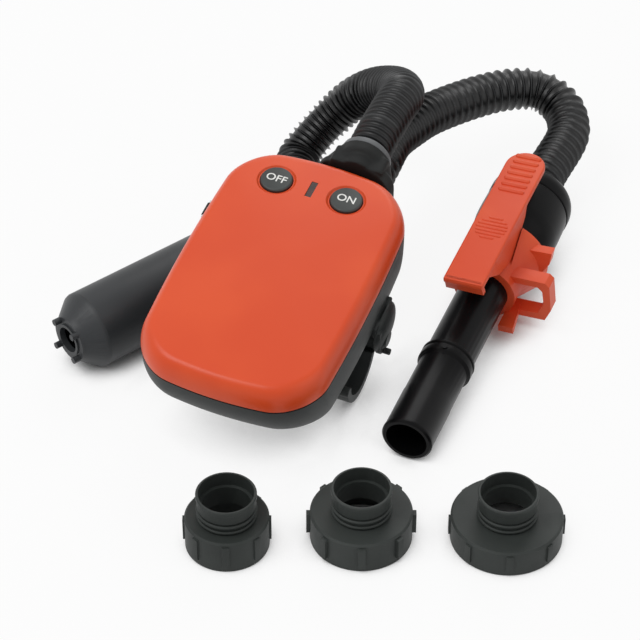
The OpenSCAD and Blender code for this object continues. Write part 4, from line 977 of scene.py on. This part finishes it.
@dataclass(frozen=True)
class ControlBox(Assembly):
    """The battery control box: two shells, the buttons and lights, and the hook on its back."""

    width: float = 87 * MM
    length: float = 135 * MM
    corner: float = 20 * MM
    side_bulge_share: float = 0.057
    end_bulge_share: float = 0.076
    cover_height: float = 11.6 * MM
    crown: float = 1.4 * MM
    depth: float = 24.5 * MM
    wall: float = 2.4 * MM
    seal: float = 0.8 * MM
    shoulder: float = 5.5 * MM
    scoop: float = 19 * MM
    back_round: float = 3 * MM
    back_power: int = 3
    button_radius: float = 7.2 * MM
    button_pitch: float = 33 * MM
    button_y: float = 47 * MM
    controls_x: float = -2 * MM
    button_top: float = 12.62 * MM
    dish_low: float = 11.22 * MM
    dish_width: float = 1.6 * MM
    dish_depth: float = 0.8 * MM
    window_width: float = 3 * MM
    window_length: float = 9.5 * MM
    gap: float = 0.3 * MM
    core_start: float = 67.2 * MM
    core_high: float = 76.6 * MM
    core_end: float = 79.6 * MM
    core_radius: float = 9.6 * MM
    core_half: Vector = mm(12.4, 0.0, 18.6)
    core_round: float = 1.6 * MM
    core_steps: int = 6
    boot_cell: float = 0.55 * MM
    boot_passes: int = 6
    ring_start: float = 78.6 * MM
    ring: Profile = ((9.6, 0.0), (9.6, 3.2), (11.5, 3.2, 0.8), (11.8, 0.0, 0.5))
    hump_sides: int = 48
    hump_rings: int = 32
    hump_spot: Vector = mm(43.9, 17.0, -27.5)
    hump_half: Vector = mm(3.8, 12.5, 10.0)
    hump_foot: tuple[Vector, Vector] = (mm(40.4, 6.5, -24.3), mm(44.4, 27.0, -18.5))
    bracket_cell: float = 0.35 * MM
    bracket_passes: int = 4
    crown_shares: tuple[float, ...] = (0.985, 0.955, 0.91, 0.85, 0.77, 0.67, 0.55, 0.42, 0.28, 0.14)
    back_share: float = 0.94
    corner_steps: int = 16
    side_cuts: int = 15
    cover_steps: int = 14
    cover_round: float = 0.25 * MM
    cover_crease: float = 30.0
    shell_steps: int = 16
    shell_round: float = 0.3 * MM
    shell_crease: float = 50.0
    button_round: float = 0.25 * MM
    window_round: float = 0.1 * MM
    fitting_round: float = 0.35 * MM
    pin_round: float = 0.2 * MM
    word_size: float = 5.5 * MM
    word_weight: float = 0.06 * MM

    def outline(self) -> tuple[BMesh, object]:
        """The box's outline at the parting line, as a ring that keeps where each corner belongs.

        Returns:
            The mesh, and the layer that holds each vertex's own place on the outline.
        """
        mesh = bmesh.new()
        bmesh.ops.create_grid(mesh, x_segments=1, y_segments=1, size=0.5)
        bmesh.ops.scale(mesh, vec=(self.width, self.length, 1.0), verts=mesh.verts)
        bevelled(mesh, mesh.verts[:], self.corner, self.corner_steps, "VERTICES")
        bmesh.ops.delete(mesh, geom=mesh.faces[:], context="FACES_ONLY")
        straight = [e for e in mesh.edges if e.calc_length() > self.corner]
        bmesh.ops.subdivide_edges(mesh, edges=straight, cuts=self.side_cuts)
        home = mesh.verts.layers.float_vector.new("home")
        for vert in mesh.verts:
            x, y = vert.co.x, vert.co.y
            vert.co.x = x * (1 - self.side_bulge_share * (2 * y / self.length) ** 2)
            vert.co.y = y * (1 - self.end_bulge_share * (2 * x / self.width) ** 2)
            vert[home] = vert.co
        return mesh, home

    def loft(self, rings: Sequence[tuple[float, float, float, float]]) -> BMesh:
        """Lofts a bowl over the outline.

        Args:
            rings: For each ring, how far it is drawn in at the sides and the hose end, how far at the
                lower end, its height, and the share of its size that it keeps.

        Returns:
            The open bowl, with its faces outwards.
        """
        mesh, home = self.outline()
        ring = mesh.edges[:]
        for count, (side, low, z, share) in enumerate(rings):
            if count:
                ring, verts = extruded(mesh, ring)
            else:
                verts = mesh.verts[:]
            for vert in verts:
                place = vert[home]
                end = side if place.y > 0 else low
                vert.co.x = place.x * (1 - 2 * side / self.width) * share
                vert.co.y = place.y * (1 - 2 * end / self.length) * share
                vert.co.z = z
        bmesh.ops.contextual_create(mesh, geom=ring)
        bmesh.ops.recalc_face_normals(mesh, faces=mesh.faces)
        return mesh

    def thicken(self, piece: Object) -> None:
        """Gives an open bowl its wall.

        Args:
            piece: The bowl.
        """
        wall = piece.modifiers.new("wall", "SOLIDIFY")
        wall.thickness = self.wall
        wall.offset = -1.0
        wall.use_even_offset = True

    def buttons(self) -> list[tuple[str, str, float]]:
        """Each button's node, its word and its place across the box."""
        half = self.button_pitch / 2
        return [("button_off", "OFF", self.controls_x - half), ("button_on", "ON", self.controls_x + half)]

    def cover(self) -> None:
        """The orange cover, with its dishes, its button holes and its window slot."""
        base = self.seal / 2
        rise = self.cover_height - base
        rings = []
        for i in range(self.cover_steps + 1):
            turn = math.radians(90 * i / self.cover_steps)
            drawn = self.shoulder * (1 - math.cos(turn))
            rings.append((drawn, drawn, base + rise * math.sin(turn), 1.0))
        for share in self.crown_shares:
            height = self.cover_height + self.crown * (1 - share * share)
            rings.append((self.shoulder, self.shoulder, height, share))
        piece = self.shop.stand(moved(self.loft(rings), BOX), "front_cover", Finish.COVER)
        self.thicken(piece)
        cutters = []
        for _, _, x in self.buttons():
            spot = (x, self.button_y)
            cutters.append(cylinder(self.button_radius + self.gap, 0.0, 2 * self.cover_height, spot))
            inner = self.button_radius + self.dish_width - self.dish_depth
            cutters.append(cylinder(inner, self.dish_low, self.dish_low + 2 * self.dish_depth, spot,
                                    inner + 2 * self.dish_depth))
        half = Vector((self.window_width, self.window_length, 0.0)) / 2
        middle = Vector((self.controls_x, self.button_y, 0.0))
        cutters.append(block(middle - half, middle + half + Vector((0.0, 0.0, 2 * self.cover_height))))
        self.shop.cut(piece, [moved(c, BOX) for c in cutters], self.cover_round, self.cover_crease)

    def shell(self) -> None:
        """The black shell, drawn in toward its lower end."""
        base = self.seal / 2
        drop = self.depth - base
        rings = []
        for i in range(self.shell_steps + 1):
            down = math.sin(math.radians(90 * i / self.shell_steps))
            side = self.back_round * (1 - (1 - down ** self.back_power) ** (1 / self.back_power))
            low = self.scoop * (1 - math.sqrt(max(0.0, 1 - down * down)))
            rings.append((side, low, -base - drop * down, 1.0))
        rings.append((self.back_round, self.scoop, -self.depth, self.back_share))
        piece = self.shop.stand(moved(self.loft(rings), BOX), "rear_shell", Finish.SHELL)
        self.thicken(piece)
        self.shop.round_edges(piece, self.shell_round, self.shell_crease)

    def printed(self, word: str) -> BMesh:
        """Prints a word flat about zero.

        Args:
            word: The word.

        Returns:
            Its mesh.
        """
        text = bpy.data.curves.new(word, "FONT")
        text.body = word
        text.size = self.word_size
        text.align_x = "CENTER"
        text.align_y = "CENTER"
        text.extrude = self.word_weight
        text.offset = self.word_weight
        drawn = linked(word, text)
        ready = drawn.evaluated_get(bpy.context.evaluated_depsgraph_get())
        mesh = bmesh.new()
        mesh.from_mesh(bpy.data.meshes.new_from_object(ready))
        bpy.data.objects.remove(drawn)
        return mesh

    def controls(self) -> None:
        """The two push buttons, each with its printed word, and the light window."""
        for node, word, x in self.buttons():
            self.shop.soften(node, Finish.BUTTON, self.button_round)
            top = Matrix.Translation((x, self.button_y, self.button_top))
            self.shop.add(moved(self.printed(word), BOX @ top), node + "_word", Finish.WHITE, body=node)
        self.shop.soften("light_window", Finish.WINDOW, self.window_round)

    def boot(self) -> None:
        """The soft rubber boot that carries both hoses, and its collar ring, whose black rubber is painted
        lighter grey as a highlight.
        """
        mesh = self.shop.merged("hose_boot")
        for mouth in (UPPER_MOUTH, LOWER_MOUTH):
            core = cylinder(self.core_radius, -self.core_end, -self.core_start, (mouth.x, mouth.z))
            joined(mesh, moved(core, BOX @ Matrix.Rotation(math.radians(90), 4, "X")))
        middle = (UPPER_MOUTH + LOWER_MOUTH) / 2
        slab = block(middle - self.core_half + Vector((0.0, self.core_start, 0.0)),
                     middle + self.core_half + Vector((0.0, self.core_high, 0.0)))
        sides = [e for e in slab.edges if abs((e.verts[0].co - e.verts[1].co).y) > MM]
        joined(mesh, moved(bevelled(slab, sides, self.core_round, self.core_steps), BOX))
        piece = self.shop.stand(mesh, "hose_boot", Finish.RUBBER)
        self.shop.reskin(piece, self.boot_cell, self.boot_passes)
        # The collar ring is black rubber given a lighter grey as a painted highlight.
        spot = Matrix.Translation(UPPER_MOUTH + Vector((0.0, self.ring_start, 0.0)))
        ring = moved(turned(scaled(self.ring)), BOX @ spot @ Matrix.Rotation(math.radians(-90), 4, "X"))
        self.shop.add(ring, "boot_ring", Finish.RING, body=self.shop.body_of["hose_boot"])

    def bracket(self) -> None:
        """The hook's bracket, with the round hump on the shell's side that its outer ear ends in."""
        hump = bmesh.new()
        bmesh.ops.create_uvsphere(hump, u_segments=self.hump_sides, v_segments=self.hump_rings, radius=1.0)
        for vert in hump.verts:
            vert.co.x = max(vert.co.x, 0.0)
        bmesh.ops.scale(hump, vec=self.hump_half, verts=hump.verts)
        bmesh.ops.translate(hump, vec=self.hump_spot, verts=hump.verts)
        foot = block(*self.hump_foot)
        mesh = joined(self.shop.merged("hook_bracket"), moved(hump, BOX), moved(foot, BOX))
        piece = self.shop.stand(mesh, "hook_bracket", Finish.SHELL)
        self.shop.reskin(piece, self.bracket_cell, self.bracket_passes)

    def build(self) -> None:
        """Makes the whole box."""
        self.cover()
        self.shell()
        self.controls()
        self.boot()
        self.bracket()
        for node, finish in (("hanging_hook", Finish.SHELL), ("charge_socket", Finish.SHELL),
                             ("charge_cap", Finish.RUBBER)):
            self.shop.soften(node, finish, self.fitting_round)
        for node, finish in (("hook_pin", Finish.SHELL), ("cap_hinge_pin", Finish.STEEL),
                             ("case_screws", Finish.STEEL)):
            self.shop.soften(node, finish, self.pin_round)
        for node, finish in (("parting_seal", Finish.RUBBER), ("tact_switches", Finish.STEEL),
                             ("charge_lights", Finish.LAMP), ("circuit_board", Finish.BOARD),
                             ("battery_cells", Finish.CELL), ("battery_tray", Finish.SHELL),
                             ("battery_contacts", Finish.BRASS), ("flow_duct", Finish.DUCT)):
            self.shop.keep(node, finish)


@dataclass(frozen=True)
class PumpHead(Assembly):
    """The submersible pump head, with its turned profiles in millimetres."""

    rounding: float = 0.4 * MM
    housing: Profile = ((15.5, 0.0), (17.7, 0.0, 0.35), (17.7, 72.0, 0.35), (15.5, 72.0))
    end_cap: Profile = ((5.32, -26.0), (6.92, -26.0), (6.92, -12.0), (12.6, -12.0, 1.2), (17.7, 0.0, 0.4),
                        (15.4, 0.0), (15.4, 4.0), (13.3, 4.0), (5.32, -6.0))
    cuff: Profile = ((10.3, -21.0), (11.6, -21.0, 0.5), (11.6, -12.0, 0.3), (10.3, -12.0))

    def build(self) -> None:
        """Makes the head's outer pieces and finishes what it holds."""
        for node, profile, finish in (("pump_housing", self.housing, Finish.PUMP),
                                      ("pump_end_cap", self.end_cap, Finish.PUMP),
                                      ("pump_hose_cuff", self.cuff, Finish.RUBBER)):
            self.shop.stand(moved(turned(scaled(profile)), PUMP), node, finish)
        self.shop.soften("intake_cone", Finish.PUMP, self.rounding)
        for node, finish in (("end_cap_seal", Finish.RUBBER), ("cone_seal", Finish.RUBBER),
                             ("strainer", Finish.STEEL), ("impeller", Finish.WHITE),
                             ("motor_shaft", Finish.STEEL), ("motor_can", Finish.STEEL),
                             ("motor_cradle", Finish.SHELL), ("shaft_seal", Finish.RUBBER)):
            self.shop.keep(node, finish)


@dataclass(frozen=True)
class Nozzle(Assembly):
    """The discharge nozzle and the orange clip on it. Lengths are in millimetres, but for the roundings."""

    rounding: float = 0.35 * MM
    pin_round: float = 0.2 * MM
    body: Profile = ((11.1, 124.0), (12.4, 124.0, 0.5), (15.2, 126.4, 0.8), (18.1, 131.0, 2.0),
                     (19.4, 136.0, 2.5), (19.7, 142.0, 3.0), (19.4, 154.5, 0.3), (19.1, 154.85),
                     (19.1, 155.0), (15.8, 155.0), (15.8, 149.0), (12.05, 149.0), (12.05, 138.0),
                     (11.1, 138.0))
    cap: Profile = ((10.3, 149.0), (15.7, 149.0), (15.7, 155.0), (19.1, 155.0), (19.1, 155.15),
                    (19.6, 155.5, 0.2), (19.7, 161.0, 2.0), (18.3, 164.5, 1.5), (13.8, 168.0, 1.5),
                    (12.0, 171.0, 0.6), (10.3, 171.0))
    cap_crease: float = 40.0
    lever_start: float = 72.0
    lever_length: float = 91.0
    lever_half: float = 9.2
    lever_top: float = 28.0
    plate_depth: float = 3.0
    skirt: float = 1.5
    skirt_outline: Profile = ((80.0, 26.0), (131.0, 26.0), (128.0, 21.0), (118.0, 15.0), (114.0, 12.5),
                              (104.0, 12.5), (92.0, 17.0))
    lip_outline: Profile = ((72.0, 28.0), (74.6, 28.0), (76.6, 20.5), (74.0, 20.5))
    lip_inset: float = 0.4
    plate_round: float = 0.9
    plate_steps: int = 4
    plate_crease: float = 45.0
    side_round: float = 0.3
    side_steps: int = 3
    side_crease: float = 20.0
    rib_sides: int = 20
    rib_rings: int = 12
    thumb_ribs: int = 7
    thumb_pitch: float = 4.0
    thumb_first: float = 5.6
    thumb_inset: float = 3.0
    thumb_rise: float = 0.8
    thumb_width: float = 2.3
    grip_ribs: int = 7
    grip_pitch: float = 2.2
    grip_middle: float = 109.0
    grip_radius: float = 7.4
    grip_rise: float = 0.45
    grip_width: float = 1.2
    sleeve_radius: float = 14.6
    flare_radius: float = 26.0
    flare_from: float = 105.0
    flare_to: float = 124.0
    flare_angle: float = 130.0

    def across(self, outline: Profile, low: float, high: float) -> BMesh:
        """A plate that stands along the spout.

        Args:
            outline: Its outline as places along the spout and heights above the axis, in millimetres.
            low: Where it starts to the right of the axis, in millimetres.
            high: Where it ends.

        Returns:
            The mesh, in the clip's frame.
        """
        return plate([mm(-h, -low, u) for u, h in outline], mm(0.0, low - high, 0.0))

    @staticmethod
    def sharp(mesh: BMesh, crease: float) -> list:
        """The edges at which a mesh's faces turn by more than an angle."""
        return [e for e in mesh.edges if e.calc_face_angle(0.0) > math.radians(crease)]

    def rib(self, place: float, half: float, rise: float, width: float) -> BMesh:
        """A soft raised rib across the lever.

        Args:
            place: Where it lies along the spout, in millimetres.
            half: Half its length.
            rise: How high it stands.
            width: Its width.

        Returns:
            The mesh, in the clip's frame.
        """
        mesh = bmesh.new()
        bmesh.ops.create_uvsphere(mesh, u_segments=self.rib_sides, v_segments=self.rib_rings, radius=1.0)
        for vert in mesh.verts:
            side = math.copysign(half - width / 2, vert.co.y)
            vert.co = mm(-self.lever_top - rise * vert.co.x, side + width / 2 * vert.co.y,
                         place + width / 2 * vert.co.z)
        bmesh.ops.recalc_face_normals(mesh, faces=mesh.faces)
        return mesh

    def lever(self) -> None:
        """The orange lever: a round-ended plate with two skirts, a lip and two patches of soft ribs."""
        end = self.lever_start + self.lever_length - self.lever_half
        arc = [math.radians(90 - 180 * i / ARC_STEPS) for i in range(ARC_STEPS + 1)]
        ring = [(self.lever_start, -self.lever_half), (self.lever_start, self.lever_half)]
        ring += [(end + self.lever_half * math.cos(a), self.lever_half * math.sin(a)) for a in arc]
        mesh = plate([mm(-self.lever_top, -s, u) for u, s in ring], mm(self.plate_depth, 0.0, 0.0))
        bevelled(mesh, self.sharp(mesh, self.plate_crease), self.plate_round * MM, self.plate_steps)
        lip = self.lever_half - self.lip_inset
        pieces = [self.across(self.lip_outline, -lip, lip)]
        for low in (-self.lever_half, self.lever_half - self.skirt):
            pieces.append(self.across(self.skirt_outline, low, low + self.skirt))
        for piece in pieces:
            bevelled(piece, self.sharp(piece, self.side_crease), self.side_round * MM, self.side_steps)
        for i in range(self.thumb_ribs):
            place = end + self.thumb_first - self.thumb_pitch * i
            half = self.lever_half - self.thumb_inset
            pieces.append(self.rib(place, half, self.thumb_rise, self.thumb_width))
        for i in range(self.grip_ribs):
            off = (i - (self.grip_ribs - 1) / 2) * self.grip_pitch
            half = math.sqrt(self.grip_radius ** 2 - off * off)
            pieces.append(self.rib(self.grip_middle + off, half, self.grip_rise, self.grip_width))
        self.shop.stand(moved(joined(mesh, *pieces), CLIP), "clip_lever", Finish.CLIP)

    def left_room(self) -> BMesh:
        """Fills the room round the sleeve, from the lever's left edge on round to below it.

        Returns:
            The mesh, in the clip's frame.
        """
        arcs = []
        for radius in (self.sleeve_radius, self.flare_radius):
            start = math.asin(self.lever_half / radius)
            span = math.radians(self.flare_angle) - start
            turns = [start + span * i / ARC_STEPS for i in range(ARC_STEPS + 1)]
            arcs.append([mm(-radius * math.cos(a), radius * math.sin(a), self.flare_from) for a in turns])
        return plate(arcs[0] + arcs[1][::-1], mm(0.0, 0.0, self.flare_to - self.flare_from))

    def saddle(self) -> None:
        """The clip's saddle, whose flare stands on the right alone."""
        piece = self.shop.stand(self.shop.merged("clip_saddle"), "clip_saddle", Finish.CLIP)
        self.shop.cut(piece, [moved(self.left_room(), CLIP)], self.rounding)

    def build(self) -> None:
        """Makes the spout, the coupling and the clip."""
        self.shop.soften("spout_tube", Finish.NOZZLE, self.rounding)
        for node, profile in (("coupling_body", self.body), ("coupling_cap", self.cap)):
            mesh = moved(turned(scaled(profile)), NOZZLE)
            self.shop.stand(mesh, node, Finish.NOZZLE, self.cap_crease)
        self.saddle()
        self.lever()
        self.shop.soften("clip_pin", Finish.STEEL, self.pin_round)
        for node, finish in (("coupling_seal", Finish.RUBBER), ("hose_barb", Finish.DUCT),
                             ("level_sensor", Finish.DUCT), ("clip_spring", Finish.STEEL)):
            self.shop.keep(node, finish)


@dataclass(frozen=True)
class Adapters(Assembly):
    """The three adapters with their gaskets."""

    rounding: float = 0.35 * MM

    def build(self) -> None:
        """Makes the adapters."""
        for size in ("small", "medium", "large"):
            self.shop.soften("adapter_" + size, Finish.ADAPTER, self.rounding)
            self.shop.keep("gasket_" + size, Finish.RUBBER)


def main() -> None:
    logging.basicConfig(level=logging.INFO, format="%(message)s")
    Studio().build()
    shop = Workshop()
    for assembly in (Hoses, ControlBox, PumpHead, Nozzle, Adapters):
        assembly(shop).build()


if __name__ == "__main__":
    main()
